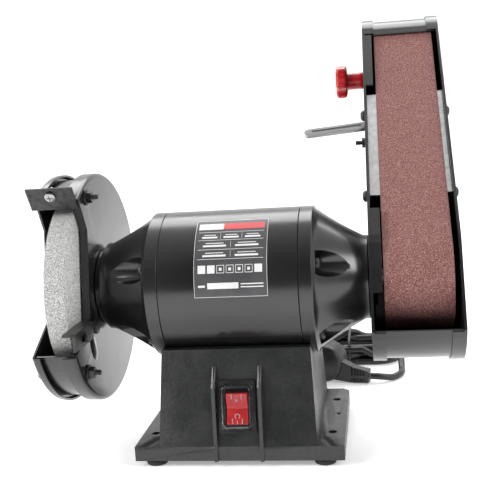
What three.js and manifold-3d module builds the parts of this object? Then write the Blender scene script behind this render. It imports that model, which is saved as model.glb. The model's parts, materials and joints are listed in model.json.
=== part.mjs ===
// Combined bench grinder: a grinding wheel on the left, a belt sanding arm on the right.
// Millimetres, +Z up, X along the motor shaft, the operator stands on the -Y side.
import * as THREE from 'three';
import { mergeVertices } from 'three/addons/utils/BufferGeometryUtils.js';
import Module from 'manifold-3d';

const wasm = await Module();
wasm.setup();

// driving dimensions
const gap = 0.3;
const shaftHeight = 125.6;

const wheel = { radius: 75, left: -132, right: -116, bore: 6.7 };
const guard = { radius: 89.7, left: -143, right: -108.6, sheet: 1.5, rimLeft: 6.5, rimRight: 11, band: 85.4 };
const guardStart = 122;
const guardEnd = 204;

const motor = { radius: 56, wall: 2.6, left: -53, right: 50, rim: 10.3 };
const neck = { radius: 32, right: 99.8, left: -104, boss: 30 };
const boltCircle = 47.5;
const boltAngles = [156, 228, 24, -48];

const base = { width: 155.2, depth: 127.4, top: 15.5, bottom: 4.6, wall: 4 };
const pedestal = { widthLow: 117, widthTop: 111, topDepth: 93, top: 84.3 };
const foot = { x: 63, y: 55, radius: 8.2, height: 4.3 };
const slabHole = { x: 68, y: 36, radius: 3.2 };

const arm = { lean: 47, left: 100.3, right: 166.3, plate: 2, rim: 8, front: 44, centres: 238.2 };
const armLow = { radius: 64 };
const armTop = { radius: 30.5, offset: 13.5 };
const drum = { drive: 38.5, idler: 25, left: 110.8, right: 159.8 };
const belt = { left: 110.3, right: 160.3, thickness: 1.1 };
const idlerOffset = drum.drive - drum.idler;
const platen = { low: 48, high: 158.5, face: 38.5, sheet: 1.7, flange: 20.5 };
const lever = { height: 145.5, pivot: 109.5, reach: 21.5, tip: 48.6, drop: 5, thick: 7, front: 17.3, back: 13.3 };
const fingerFlange = { upper: [165, 229], lower: 30 };
const knob = { height: 213, front: 6, head: 75, neck: 85.5 };
const carriageX = 135;
const stud = { place: [-6, 135.4], radius: 1.9, end: 91.7 };

const cord = { diameter: 6.2, exitX: 30, exitZ: 30 };
const hank = { x: 74.1, y: 205, halfLength: 52.9, radius: 28, height: 25.2, topLayer: 15.75 };
const plugEnd = [93.9, 125];
const plugTurn = -12;

// helpers that turn three.js geometries into solids and back
function solid(geometry) {
  const bare = geometry.clone();
  bare.deleteAttribute('normal');
  bare.deleteAttribute('uv');
  const merged = mergeVertices(bare, 1e-4);
  const place = merged.attributes.position;
  const index = merged.index.array;
  const triangles = [];
  let volume = 0;
  const a = new THREE.Vector3();
  const b = new THREE.Vector3();
  const c = new THREE.Vector3();
  for (let i = 0; i < index.length; i += 3) {
    const [p, q, r] = [index[i], index[i + 1], index[i + 2]];
    if (p === q || q === r || r === p) continue;
    triangles.push(p, q, r);
    a.fromBufferAttribute(place, p);
    b.fromBufferAttribute(place, q);
    c.fromBufferAttribute(place, r);
    volume += a.dot(b.cross(c));
  }
  if (volume < 0) triangles.reverse();
  return new wasm.Manifold(new wasm.Mesh({
    numProp: 3,
    vertProperties: Float32Array.from(place.array),
    triVerts: Uint32Array.from(triangles),
  }));
}

function geometryOf(body) {
  const mesh = body.getMesh();
  const geometry = new THREE.BufferGeometry();
  geometry.setAttribute('position', new THREE.BufferAttribute(mesh.vertProperties, 3));
  geometry.setIndex(new THREE.BufferAttribute(mesh.triVerts, 1));
  geometry.computeVertexNormals();
  return geometry;
}

function joined(...pieces) {
  return pieces.reduce((whole, piece) => whole.add(piece));
}

function cutBy(body, ...tools) {
  return tools.reduce((whole, tool) => whole.subtract(tool), body);
}

function block(x0, x1, y0, y1, z0, z1) {
  const geometry = new THREE.BoxGeometry(x1 - x0, y1 - y0, z1 - z0);
  return solid(geometry.translate((x0 + x1) / 2, (y0 + y1) / 2, (z0 + z1) / 2));
}

// a cylinder along one axis; the other two coordinates are given in the order X, Y, Z
function rod(axis, radius, from, to, [first, second] = [0, 0], sides = 24) {
  const geometry = new THREE.CylinderGeometry(radius, radius, to - from, sides);
  const middle = (from + to) / 2;
  if (axis === 'x') geometry.rotateZ(-Math.PI / 2).translate(middle, first, second);
  if (axis === 'y') geometry.translate(first, middle, second);
  if (axis === 'z') geometry.rotateX(Math.PI / 2).translate(first, second, middle);
  return solid(geometry);
}

// a solid turned about the X axis from [x, radius] points
function turned(points, sides = 48) {
  const profile = points.map(([x, radius]) => new THREE.Vector2(radius, x));
  const [first, last] = [profile[0], profile[profile.length - 1]];
  if (first.x > 0 || last.x > 0) profile.push(first.clone());
  return solid(new THREE.LatheGeometry(profile, sides).rotateZ(-Math.PI / 2));
}

const extrudeBases = {
  x: [new THREE.Vector3(0, 1, 0), new THREE.Vector3(0, 0, 1), new THREE.Vector3(1, 0, 0)],
  y: [new THREE.Vector3(0, 0, 1), new THREE.Vector3(1, 0, 0), new THREE.Vector3(0, 1, 0)],
  z: [new THREE.Vector3(1, 0, 0), new THREE.Vector3(0, 1, 0), new THREE.Vector3(0, 0, 1)],
};

// an outline pushed along an axis: [y, z] points for x, [z, x] for y, [x, y] for z
function pushed(axis, points, from, to) {
  const shape = new THREE.Shape(points.map(([p, q]) => new THREE.Vector2(p, q)));
  const geometry = new THREE.ExtrudeGeometry(shape, { depth: to - from, bevelEnabled: false });
  geometry.translate(0, 0, from);
  return solid(geometry.applyMatrix4(new THREE.Matrix4().makeBasis(...extrudeBases[axis])));
}

function arc([p, q], radius, startDegrees, endDegrees, steps) {
  const points = [];
  for (let i = 0; i <= steps; i += 1) {
    const angle = THREE.MathUtils.degToRad(startDegrees + (endDegrees - startDegrees) * i / steps);
    points.push([p + radius * Math.cos(angle), q + radius * Math.sin(angle)]);
  }
  return points;
}

function onCircle(radius, degrees) {
  const angle = THREE.MathUtils.degToRad(degrees);
  return [radius * Math.cos(angle), radius * Math.sin(angle)];
}

const paints = {
  blackPaint: [0x16171a, 0.38, 0.1],
  texturedBlack: [0x202226, 0.7, 0.1],
  stone: [0xb9b7b2, 0.95, 0],
  steel: [0xa9abad, 0.35, 0.9],
  darkSteel: [0x4a4c50, 0.45, 0.8],
  lamination: [0x5a5c60, 0.55, 0.7],
  copper: [0xa65a2e, 0.4, 0.8],
  rubber: [0x151515, 0.85, 0],
  grit: [0xa8766e, 0.95, 0],
  redPlastic: [0xc0202a, 0.35, 0],
  blackPlastic: [0x1c1c1e, 0.5, 0],
  clearPlastic: [0xcfd6d8, 0.1, 0],
  label: [0x3a3c40, 0.5, 0],
};

const grinder = new THREE.Group();
const shaftLine = new THREE.Group();
shaftLine.position.z = shaftHeight;
const armGroup = new THREE.Group();
armGroup.position.z = shaftHeight;
armGroup.rotation.x = THREE.MathUtils.degToRad(-arm.lean);
const switchGroup = new THREE.Group();
grinder.add(shaftLine, armGroup, switchGroup);

function part(group, name, paint, body) {
  const [color, roughness, metalness] = paints[paint];
  const material = new THREE.MeshStandardMaterial({ color, roughness, metalness });
  const mesh = new THREE.Mesh(geometryOf(body), material);
  mesh.name = name;
  group.add(mesh);
}

// base: a hollow casting, a slab with a tapered pedestal that cradles the motor
function tapered(lowHalf, topHalf, lowDepth, topDepth, low, high) {
  const front = [[low, -lowHalf], [high, -topHalf], [high, topHalf], [low, lowHalf]];
  const side = [[-lowDepth, low], [lowDepth, low], [topDepth, high], [-topDepth, high]];
  const across = pushed('y', front, -base.depth, base.depth);
  return across.intersect(pushed('x', side, -base.width, base.width));
}

const panelLean = Math.atan2((base.depth - pedestal.topDepth) / 2, pedestal.top - base.top);

function slab(inset, from, to) {
  const [x, y, cut] = [base.width / 2 - inset, base.depth / 2 - inset, 5];
  const outline = [[-x, -y], [x, -y], [x, y - cut], [x - cut, y], [cut - x, y], [-x, y - cut]];
  return pushed('z', outline, from, to);
}

function switchRib(x) {
  const front = -base.depth / 2;
  const profile = [
    [front - 2.2, base.bottom], [front + 9, base.bottom], [front + 18.5, 72],
    [front + 13.5, 72], [front + 3, 59],
  ];
  return pushed('x', profile, x - 1.3, x + 1.3);
}

const switchCentre = { x: 1, z: 43.6 };
const switchSize = { bodyX: 10.6, bodyZ: 14.6 };

function panelY(z) {
  return -base.depth / 2 + (z - base.top) * Math.tan(panelLean);
}

function inSwitchFrame(body) {
  const turn = new THREE.Matrix4().makeRotationX(-panelLean);
  turn.setPosition(switchCentre.x, panelY(switchCentre.z), switchCentre.z);
  return body.transform(turn.elements);
}

function basePedestal() {
  const [lowHalf, topHalf] = [pedestal.widthLow / 2, pedestal.widthTop / 2];
  const [lowDepth, topDepth] = [base.depth / 2, pedestal.topDepth / 2];
  const wall = base.wall;
  const outer = tapered(lowHalf, topHalf, lowDepth, topDepth, base.top - 0.01, pedestal.top);
  const hollow = tapered(
    lowHalf - wall, topHalf - wall, lowDepth - wall, topDepth - wall, base.top - 0.5, pedestal.top,
  );
  const cradle = rod('x', motor.radius + gap, -80, 80, [0, shaftHeight], 44);
  const innerCradle = rod('x', motor.radius + gap + wall, -80, 80, [0, shaftHeight], 32);
  const openSlab = slab(0, base.bottom, base.top)
    .subtract(slab(wall, base.bottom - 1, base.top - wall))
    .subtract(block(wall - lowHalf, lowHalf - wall, wall - lowDepth, lowDepth - wall, 5, base.top + 1));
  let body = joined(
    openSlab,
    cutBy(outer, hollow.subtract(innerCradle), cradle),
    switchRib(-16),
    switchRib(18),
  );
  const { bodyX, bodyZ } = switchSize;
  const [windowX, windowZ] = [bodyX + gap, bodyZ + gap];
  body = body.subtract(inSwitchFrame(block(-windowX, windowX, -12, 12, -windowZ, windowZ)));
  body = body.subtract(rod('y', 6.1, 50, 80, [cord.exitX, cord.exitZ], 14));
  for (const x of [-1, 1]) {
    for (const y of [-1, 1]) {
      const [footX, footY] = [x * foot.x, y * foot.y];
      body = body.add(rod('z', 5, base.bottom, base.top - 1, [footX, footY], 10));
      body = body.subtract(rod('z', 2.6, 0, 12, [footX, footY], 8));
      body = body.subtract(rod('z', slabHole.radius, 0, 30, [x * slabHole.x, y * slabHole.y], 12));
    }
    body = body.subtract(rod('z', 1.8, 0, 30, [x * 71, 3], 8));
  }
  return body;
}

function rubberFoot(x, y) {
  const pad = rod('z', foot.radius, 0, foot.height, [x, y], 20);
  return pad.add(rod('z', 2.3, foot.height - 1, 11, [x, y], 8));
}

part(grinder, 'base_pedestal', 'texturedBlack', basePedestal());
[[-1, -1], [1, -1], [1, 1], [-1, 1]].forEach(([x, y], i) => {
  part(grinder, `rubber_foot_${i + 1}`, 'rubber', rubberFoot(x * foot.x, y * foot.y));
});

// rocker switch under a clear splash cover, set square to the leaning front panel
function switchBezel() {
  const { bodyX, bodyZ } = switchSize;
  const flange = block(-13.8, 13.8, -2.5, -gap, -19.2, 19.2);
  const box = block(-bodyX, bodyX, -1, 20, -bodyZ, bodyZ);
  const well = block(-8.4, 8.4, -5, 14, -13.1, 13.1);
  return flange.add(box).subtract(well);
}

const rockerTilt = 9;
const rockerPivot = 5;

function switchRocker() {
  const profile = [[-4.6, -11.6], [-1.6, 0], [-4.6, 11.6], [4, 10.4], [9.5, 3.5], [9.5, -3.5], [4, -10.4]];
  const body = pushed('x', profile, -7.8, 7.8);
  const turn = new THREE.Matrix4().makeRotationX(THREE.MathUtils.degToRad(rockerTilt));
  const back = new THREE.Matrix4().makeTranslation(0, -rockerPivot, 0);
  const forth = new THREE.Matrix4().makeTranslation(0, rockerPivot, 0);
  return body.transform(forth.multiply(turn).multiply(back).elements);
}

function switchCover() {
  const shell = block(-11, 11, -9.4, -2.8, -15.2, 15.2);
  return shell.subtract(block(-9.8, 9.8, -8.2, 0, -14, 14));
}

switchGroup.position.set(switchCentre.x, panelY(switchCentre.z), switchCentre.z);
switchGroup.rotation.x = -panelLean;
part(switchGroup, 'switch_body', 'blackPlastic', switchBezel());
part(switchGroup, 'switch_rocker', 'redPlastic', switchRocker());
part(switchGroup, 'switch_splash_cover', 'clearPlastic', switchCover());

// what the base holds: the run capacitor and the cord gland
part(grinder, 'run_capacitor', 'blackPlastic', rod('x', 14, -50, -4, [34, 26], 20));

function cordGland() {
  const sleeve = new THREE.CylinderGeometry(3.8, 5.8, 24, 14);
  const shell = joined(
    rod('y', 5.8, 55, 63, [cord.exitX, cord.exitZ], 14),
    rod('y', 9, 62.8, 65.6, [cord.exitX, cord.exitZ], 16),
    solid(sleeve.translate(cord.exitX, 77, cord.exitZ)),
  );
  return shell.subtract(rod('y', 4.4, 50, 60, [cord.exitX, cord.exitZ], 10));
}

part(grinder, 'cord_gland', 'blackPlastic', cordGland());

// motor: shell, laminated stator with its winding, rotor on the shaft, two end bells
function motorShell() {
  const inner = motor.radius - motor.wall;
  return turned([
    [motor.left, inner], [motor.left, motor.radius], [motor.right, motor.radius], [motor.right, inner],
  ], 40);
}

const stator = { radius: 53.1, bore: 28, left: -38, right: 32, slots: 6, slotCircle: 37 };

function slotPositions() {
  const places = [];
  for (let i = 0; i < stator.slots; i += 1) {
    places.push(onCircle(stator.slotCircle, 360 * i / stator.slots));
  }
  return places;
}

function statorCore() {
  let body = rod('x', stator.radius, stator.left, stator.right, [0, 0], 36);
  body = body.subtract(rod('x', stator.bore, -90, 90, [0, 0], 24));
  for (const angle of boltAngles) {
    body = body.subtract(rod('x', 5, -90, 90, onCircle(boltCircle + 1.5, angle), 10));
  }
  for (const place of slotPositions()) {
    body = body.subtract(rod('x', 4.4, -90, 90, place, 8));
  }
  return body;
}

function statorWinding() {
  const [inner, outer] = [31, 42.5];
  const ring = (from, to) => turned([[from, inner], [from, outer], [to, outer], [to, inner]], 24);
  const [left, right] = [stator.left - gap, stator.right + gap];
  let body = joined(ring(left - 11.7, left), ring(right, right + 11.7));
  for (const place of slotPositions()) {
    body = body.add(rod('x', 3.9, stator.left - 2, stator.right + 2, place, 8));
  }
  return body;
}

function rotorCore() {
  const core = rod('x', 27.5, -40, 34, [0, 0], 28);
  return core.subtract(rod('x', 8.8, -90, 90));
}

// the shaft is stepped: a collar and a thread for the wheel, a plain end for the drive drum
function rotorShaft() {
  return turned([
    [-140.4, 0], [-140.4, 6.35], [-111.7, 6.35], [-111.7, 7.5], [-80, 7.5], [-80, 8.5],
    [78, 8.5], [78, 7.5], [108.6, 7.5], [108.6, 6.35], [162.4, 6.35], [162.4, 0],
  ], 20);
}

function bearing(from, to) {
  return turned([[from, 7.8], [from, 17.5], [to, 17.5], [to, 7.8]], 24);
}

// one end bell drawn for the right side; the left one is its mirror with a wider nose
function endBell(noseRadius, noseEnd, seatRadius, bellBore) {
  const rimEnd = motor.rim;
  const coneStart = [rimEnd + 0.8, 53.6];
  const coneEnd = [noseEnd - 4, noseRadius];
  const outside = turned([
    [0, 0], [0, motor.radius], [rimEnd, motor.radius],
    coneStart, coneEnd, [noseEnd, noseRadius], [noseEnd, 0],
  ], 32);
  const inside = turned([
    [-1, 0], [-1, 51.5], [rimEnd - 2, 51.5], [rimEnd + 2, 48.5], [noseEnd - 22, noseRadius - 5],
    [noseEnd - 16, seatRadius], [noseEnd - 4, seatRadius], [noseEnd - 4, bellBore],
    [noseEnd + 1, bellBore], [noseEnd + 1, 0],
  ], 20);
  let body = outside.subtract(inside);
  for (const angle of boltAngles) {
    const place = onCircle(boltCircle, angle);
    body = body.add(rod('x', 12, 0, 30, place, 12).intersect(outside));
    body = body.subtract(rod('x', 9.8, 12, 60, place, 16));
    body = body.subtract(rod('x', 2.6, -5, 60, place, 6));
  }
  return body;
}

function rightBell() {
  const spigot = turned([
    [neck.right - 55, 9], [neck.right - 55, 22], [neck.right - 46, 22], [neck.right - 46, 9],
  ], 30);
  const bell = endBell(neck.radius, neck.right - motor.right - gap, 17.8, 9);
  return bell.add(spigot.translate([1.5, 0, 0])).translate([motor.right + gap, 0, 0]);
}

function leftBell() {
  const length = motor.left - neck.left - gap;
  const boss = turned([
    [length - 1, 9], [length - 1, neck.boss], [length + 4.3, neck.boss], [length + 4.3, 9],
  ], 30);
  const bell = endBell(34, length, 17.8, 9).add(boss);
  const mirrorX = new THREE.Matrix4().makeScale(-1, 1, 1);
  return bell.transform(mirrorX.elements).translate([motor.left - gap, 0, 0]);
}

// a through bolt runs from bell to bell, a head in each pocket
function throughBolt(angle) {
  const place = onCircle(boltCircle, angle);
  const [left, right] = [motor.left - 12.6, motor.right + 12.6];
  return joined(
    rod('x', 2.2, left, right, place, 16),
    rod('x', 4.5, right, right + 4, place, 6),
    rod('x', 4.5, left - 4, left, place, 6),
  );
}

function ratingLabel() {
  const [inner, outer] = [motor.radius + gap, motor.radius + gap + 0.4];
  const outline = [...arc([0, 0], outer, 180, 115.5, 14), ...arc([0, 0], inner, 115.5, 180, 14)];
  return pushed('x', outline, -25, 28.5);
}

part(shaftLine, 'motor_shell', 'blackPaint', motorShell());
part(shaftLine, 'stator_core', 'lamination', statorCore());
part(shaftLine, 'stator_winding', 'copper', statorWinding());
part(shaftLine, 'rotor_core', 'lamination', rotorCore());
part(shaftLine, 'rotor_shaft', 'steel', rotorShaft());
part(shaftLine, 'bearing_left', 'steel', bearing(-99.2, -88.5));
part(shaftLine, 'bearing_right', 'steel', bearing(84.4, 95.1));
part(shaftLine, 'end_bell_left', 'blackPaint', leftBell());
part(shaftLine, 'end_bell_right', 'blackPaint', rightBell());
boltAngles.forEach((angle, i) => {
  part(shaftLine, `through_bolt_${i + 1}`, 'darkSteel', throughBolt(angle));
});
part(shaftLine, 'rating_label', 'label', ratingLabel());

// wheel guard: two dished plates and the band between them, all open towards the operator
function guardMouth(from, to) {
  const mouth = [onCircle(100, guardStart), onCircle(78, guardStart), [-33, 50], [-46, -17],
    onCircle(92, guardEnd), [-130, -40], [-130, 90]];
  return pushed('x', mouth, from, to);
}

// the edge of the inner plate is turned in beside the wheel
function guardLip() {
  const [top, low] = [onCircle(80, guardStart), onCircle(80, guardEnd)];
  const edge = [
    top, [-33, 50], [-46, -17], low,
    [low[0] + 0.6, low[1] - 1.3], [-45, -18.4], [-31.5, 50], [top[0] + 1.3, top[1] + 0.7],
  ];
  return pushed('x', edge, guard.right - 5.8, guard.right - 0.3);
}

function guardInnerPlate() {
  const { radius, right, sheet, rimRight } = guard;
  const dish = turned([
    [right, 26], [right, radius - 1.6], [right - 1.6, radius], [right - rimRight, radius],
    [right - rimRight, radius - sheet], [right - sheet, radius - sheet],
    [right - sheet, 26],
  ], 44);
  return dish.subtract(guardMouth(-160, -90)).add(guardLip());
}

function guardOuterCover() {
  const { radius, left, sheet, rimLeft } = guard;
  const dish = turned([
    [left, 0], [left, radius - 1.6], [left + 1.6, radius], [left + rimLeft, radius],
    [left + rimLeft, radius - sheet], [left + sheet, radius - sheet],
    [left + sheet, 0],
  ], 44);
  return dish.subtract(guardMouth(-160, -90));
}

const deflector = { left: -146, right: -110, low: 81, high: 100.3, sheet: 1.6, screw: 93.5, screwX: -128 };

function atGuardStart(body) {
  const turn = new THREE.Matrix4().makeRotationX(THREE.MathUtils.degToRad(guardStart));
  return body.transform(turn.elements);
}

const guardBoltCircle = 80.4;
const guardBoltAngles = [112, 221, 346];

function guardBand() {
  const [outer, inner] = [guard.band, guard.band - guard.sheet];
  const sweep = [guardEnd - 360 + 0.6, guardStart - 0.5];
  const outline = [...arc([0, 0], outer, ...sweep, 36), ...arc([0, 0], inner, sweep[1], sweep[0], 36)];
  const band = pushed('x', outline, guard.left + guard.sheet + gap, guard.right - guard.sheet - gap);
  const { screwX, screw } = deflector;
  const tab = block(screwX - 7, screwX + 7, guard.band - 1.5, guard.band + 13, -guard.sheet, 0);
  const hole = rod('z', 2.3, -8, 8, [screwX, screw], 16);
  return band.add(atGuardStart(tab)).subtract(atGuardStart(hole));
}

function guardBolt(angle) {
  const place = onCircle(guardBoltCircle, angle);
  return joined(
    rod('x', 2, guard.left - 3, guard.right + 10, place, 8),
    rod('x', 4.2, guard.left - 3.4, guard.left - gap, place, 6),
    rod('x', 6, guard.right + gap, guard.right + 1.5, place, 12),
    rod('x', 4.6, guard.right + 1.4, guard.right + 5.4, place, 6),
  );
}

function drilledForBolts(body) {
  return cutBy(body, ...guardBoltAngles.map(
    (angle) => rod('x', 2.4, -160, -90, onCircle(guardBoltCircle, angle), 8),
  ));
}

const restScrewPlace = [-40, 101 - shaftHeight];
const restRivetHole = rod('x', 2.4, -115, -100, restScrewPlace, 16);
const innerPlate = drilledForBolts(guardInnerPlate()).subtract(restRivetHole);
part(shaftLine, 'guard_inner_plate', 'blackPaint', innerPlate);
part(shaftLine, 'guard_band', 'blackPaint', guardBand());
part(shaftLine, 'guard_outer_cover', 'blackPaint', drilledForBolts(guardOuterCover()));
guardBoltAngles.forEach((angle, i) => {
  part(shaftLine, `guard_bolt_${i + 1}`, 'darkSteel', guardBolt(angle));
});

// spark deflector: a slotted plate held radially on the tab of the guard band
function sparkDeflector() {
  const { left, right, low, high, sheet, screw, screwX } = deflector;
  const plate = block(left, right, low, high, gap, gap + sheet);
  const slot = block(screwX - 2.2, screwX + 2.2, screw - 4, screw + 5, -1, 4);
  return atGuardStart(plate.subtract(slot));
}

function sparkDeflectorScrew() {
  const head = gap + deflector.sheet + gap;
  const place = [deflector.screwX, deflector.screw];
  return atGuardStart(joined(
    rod('z', 1.9, -5, head + 1, place, 12),
    rod('z', 4, head, head + 2.2, place, 20),
    rod('z', 3.6, -5, -guard.sheet - gap, place, 6),
  ));
}

part(shaftLine, 'spark_deflector', 'darkSteel', sparkDeflector());
part(shaftLine, 'spark_deflector_screw', 'steel', sparkDeflectorScrew());

// tool rest: a slotted angle on a strap, beside the wheel; heights are above the bench
const rest = { top: 110.5, sheet: 2, front: -94, back: -54 };

function toolRest() {
  const { top, sheet, front, back } = rest;
  const plate = block(-113.5, -104, front, back, top - sheet, top);
  const web = block(-106, -104, front + 2, back, 97.5, top);
  const slot = block(-108, -100, -79, -65, 100.8, 105.4);
  return plate.add(web).subtract(slot).translate([0, 0, -shaftHeight]);
}

function toolRestStrap() {
  const strap = block(-108.3, -106.3, -88, -33, 96, 108);
  const rivet = joined(
    rod('x', 2, -111, -105.2, [-40, 101], 12),
    rod('x', 4, -106.5, -104.8, [-40, 101], 20),
    rod('x', 3.6, -112, -110.4, [-40, 101], 20),
  );
  const hole = rod('x', 2.4, -115, -100, [-72, 103.1], 16);
  return strap.subtract(hole).add(rivet).translate([0, 0, -shaftHeight]);
}

function toolRestScrew() {
  const place = [-72, 103.1];
  const seat = -104 + gap;
  const body = joined(
    rod('x', 2, -112.4, seat + 1, place, 12),
    rod('x', 4, seat, seat + 2.4, place, 6),
    rod('x', 3.8, -111.4, -108.3 - gap, place, 6),
  );
  return body.translate([0, 0, -shaftHeight]);
}

part(shaftLine, 'tool_rest', 'darkSteel', toolRest());
part(shaftLine, 'tool_rest_strap', 'blackPaint', toolRestStrap());
part(shaftLine, 'tool_rest_screw', 'steel', toolRestScrew());

// grinding wheel between two clamping flanges
function wheelBody() {
  const { left, right, radius, bore } = wheel;
  return turned([
    [left, bore], [left, radius], [right, radius], [right, bore],
  ], 48);
}

function clampFlange(from, to) {
  return turned([[from, wheel.bore], [from, 25], [to, 25], [to, wheel.bore]], 28);
}

part(shaftLine, 'wheel_flange_inner', 'steel', clampFlange(wheel.right + gap, -112));
part(shaftLine, 'grinding_wheel', 'stone', wheelBody());
part(shaftLine, 'wheel_flange_outer', 'steel', clampFlange(wheel.left - 3.2, wheel.left - gap));
const nut = rod('x', 10.5, wheel.left - 8, wheel.left - 3.5, [0, 0], 6);
part(shaftLine, 'wheel_nut', 'steel', nut.subtract(rod('x', 6.7, -150, -130, [0, 0], 16)));

// sanding arm, drawn upright on the shaft axis: -Y is its sanding side, Z runs along it
function armOutline(inset) {
  const [low, top, front] = [armLow.radius - inset, armTop.radius - inset, inset - arm.front];
  const span = Math.hypot(arm.centres, armTop.offset);
  const slant = THREE.MathUtils.radToDeg(
    Math.asin((armLow.radius - armTop.radius) / span) + Math.atan2(armTop.offset, arm.centres),
  );
  return [
    ...arc([0, 0], low, -106, slant, 17),
    ...arc([-armTop.offset, arm.centres], top, slant, 180, 16),
    [front, 6],
    [front + 1.2, -1],
  ];
}

function armMouth(from, to) {
  const mouth = [[-33, 231], [-70, 231], [-70, -80], [-16, -80], [-16, -48], [-24, -28], [-33, 0]];
  return pushed('x', mouth, from, to);
}

function armRim(from, to) {
  const outside = pushed('x', armOutline(0), from, to);
  const inside = pushed('x', armOutline(1.5), from - 1, to + 1);
  return cutBy(outside, inside, armMouth(from - 1, to + 1));
}

const platenBolts = [[-26, 147], [-26, 58]];

function sidePlateHoles(from, to) {
  return platenBolts.map((place) => rod('x', 2.4, from, to, place, 16));
}

const rodSpan = { front: -12, back: 0, half: 6 };

// the bracket that the carriage rod slides in
function guideBracket() {
  const { front, back, half } = rodSpan;
  const plate = block(arm.left + arm.plate - 0.5, arm.right - arm.plate - gap, -18.5, 6.5, 155, 160);
  const hole = block(carriageX - half - gap, carriageX + half + gap, front - gap, back + gap, 150, 165);
  return plate.subtract(hole);
}

// the lower finger flange follows the front edge and then the cut corner below it
function lowerFlange() {
  const [front, top] = [-arm.front, fingerFlange.lower];
  return [
    [front - 1, top], [front - 1, 5], [front + 0.3, -1.5], [-29.5, -35.5],
    [-27.7, -34.5], [front + 2.2, -0.5], [front + 1, 5.5], [front + 1, top],
  ];
}

function armLeftHousing() {
  const inside = arm.left + arm.plate;
  const front = -arm.front;
  const earX = lever.pivot + 3.5;
  const leverZ = lever.height;
  const ear = (y0, y1) => block(inside - 1, earX, y0, y1, leverZ - 4, leverZ + 4);
  const body = joined(
    pushed('x', armOutline(0), arm.left, inside),
    armRim(inside - 0.1, inside + arm.rim),
    block(arm.left, inside + 6, front, front + 2, ...fingerFlange.upper),
    pushed('x', lowerFlange(), arm.left, inside + 7),
    ear(-19.4, -lever.front - gap),
    ear(-lever.back + gap, -11.6),
    rod('y', 1.8, -19.4, -11.6, [lever.pivot, leverZ], 16),
    guideBracket(),
  );
  return cutBy(
    body,
    rod('x', 22.3, 90, 107, [0, 0], 32),
    block(90, inside + 0.1, -lever.front - 0.2, -lever.back + 0.2, leverZ - 9.6, leverZ + 9.6),
    rod('x', 3.4, 90, 107, [-knob.front, knob.height], 20),
    rod('x', stud.radius + gap, 90, 107, stud.place, 16),
    ...sidePlateHoles(90, 107),
  );
}

function armRightCover() {
  const inside = arm.right - arm.plate;
  const body = pushed('x', armOutline(0), inside, arm.right).add(armRim(inside - arm.rim, inside + 0.1));
  return cutBy(body, ...sidePlateHoles(160, 170));
}

function armWrap() {
  const from = arm.left + arm.plate + gap;
  const to = arm.right - arm.plate - gap;
  const outside = pushed('x', armOutline(1.8), from, to);
  const inside = pushed('x', armOutline(2.9), from - 1, to + 1);
  return cutBy(outside, inside, armMouth(from - 1, to + 1));
}

function platenSheet() {
  const { low, high, face, sheet, flange } = platen;
  const [from, to] = [arm.left + arm.plate + gap, arm.right - arm.plate - gap];
  const body = joined(
    block(from, to, -face, sheet - face, low, high),
    block(from, from + sheet, -face, -flange, low, high),
    block(to - sheet, to, -face, -flange, low, high),
  );
  return cutBy(body, ...platenBolts.map((place) => rod('x', 2.4, from - 1, to + 1, place, 16)));
}

// a bolt through one side plate and the platen flange behind it
function platenBolt(side, place) {
  const face = side < 0 ? arm.left - gap : arm.right + gap;
  const inner = side < 0 ? arm.left + arm.plate + 5 : arm.right - arm.plate - 5;
  const outer = face + side * 3.4;
  const span = (p, q) => [Math.min(p, q), Math.max(p, q)];
  return joined(
    rod('x', 2, ...span(inner, outer), place, 12),
    rod('x', 4.6, ...span(face, outer), place, 6),
  );
}

function beltLoop(clear) {
  const [low, top] = [drum.drive + clear, drum.idler + clear];
  const slant = THREE.MathUtils.radToDeg(Math.asin(idlerOffset / Math.hypot(arm.centres, idlerOffset)));
  const tilt = THREE.MathUtils.radToDeg(Math.atan2(idlerOffset, arm.centres));
  const back = slant + tilt;
  return [
    ...arc([0, 0], low, -180, back, 22),
    ...arc([-idlerOffset, arm.centres], top, back, 180, 20),
  ];
}

function sandingBelt() {
  const outer = pushed('x', beltLoop(gap + belt.thickness), belt.left, belt.right);
  return outer.subtract(pushed('x', beltLoop(gap), belt.left - 1, belt.right + 1));
}

part(armGroup, 'arm_left_housing', 'blackPaint', armLeftHousing());
part(armGroup, 'arm_right_cover', 'blackPaint', armRightCover());
part(armGroup, 'arm_wrap_cover', 'blackPaint', armWrap());
part(armGroup, 'platen', 'steel', platenSheet());
platenBolts.forEach((place, i) => {
  part(armGroup, `platen_bolt_left_${i + 1}`, 'darkSteel', platenBolt(-1, place));
  part(armGroup, `platen_bolt_right_${i + 1}`, 'darkSteel', platenBolt(1, place));
});
part(armGroup, 'sanding_belt', 'grit', sandingBelt());

// drive drum on the motor shaft
function driveDrum() {
  const { left, right, drive } = drum;
  return turned([[left, 6.7], [left, drive], [right, drive], [right, 6.7]], 40);
}

part(armGroup, 'drive_drum', 'rubber', driveDrum());

// idler: a crowned drum on the axle of a yoke, which tilts on a sprung, sliding carriage
const idlerPlace = [-idlerOffset, arm.centres];
const yokePin = 191.5;

function idlerDrum() {
  const { left, right, idler } = drum;
  const profile = [[left, 5.3], [left, idler - 0.9], [left + 12, idler - 0.2], [right - 12, idler - 0.2],
    [right, idler - 0.9], [right, 5.3]];
  return turned(profile, 32).translate([0, ...idlerPlace]);
}

function idlerYoke() {
  const cheek = (from) => pushed('x', [
    [-16, 205], ...arc(idlerPlace, 9, 0, 180, 12).reverse(), [4, 205],
  ], from, from + 1.6);
  const body = joined(
    block(107.6, 162.7, -16, 4, 205, 209),
    cheek(107.6),
    cheek(161.1),
    block(130, 140, -16, 4, 186.4, 206),
  );
  const axle = rod('x', 5, 108, 162, idlerPlace, 24);
  return body.subtract(rod('y', 2.9, -30, 20, [carriageX, yokePin], 20)).add(axle);
}

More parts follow.
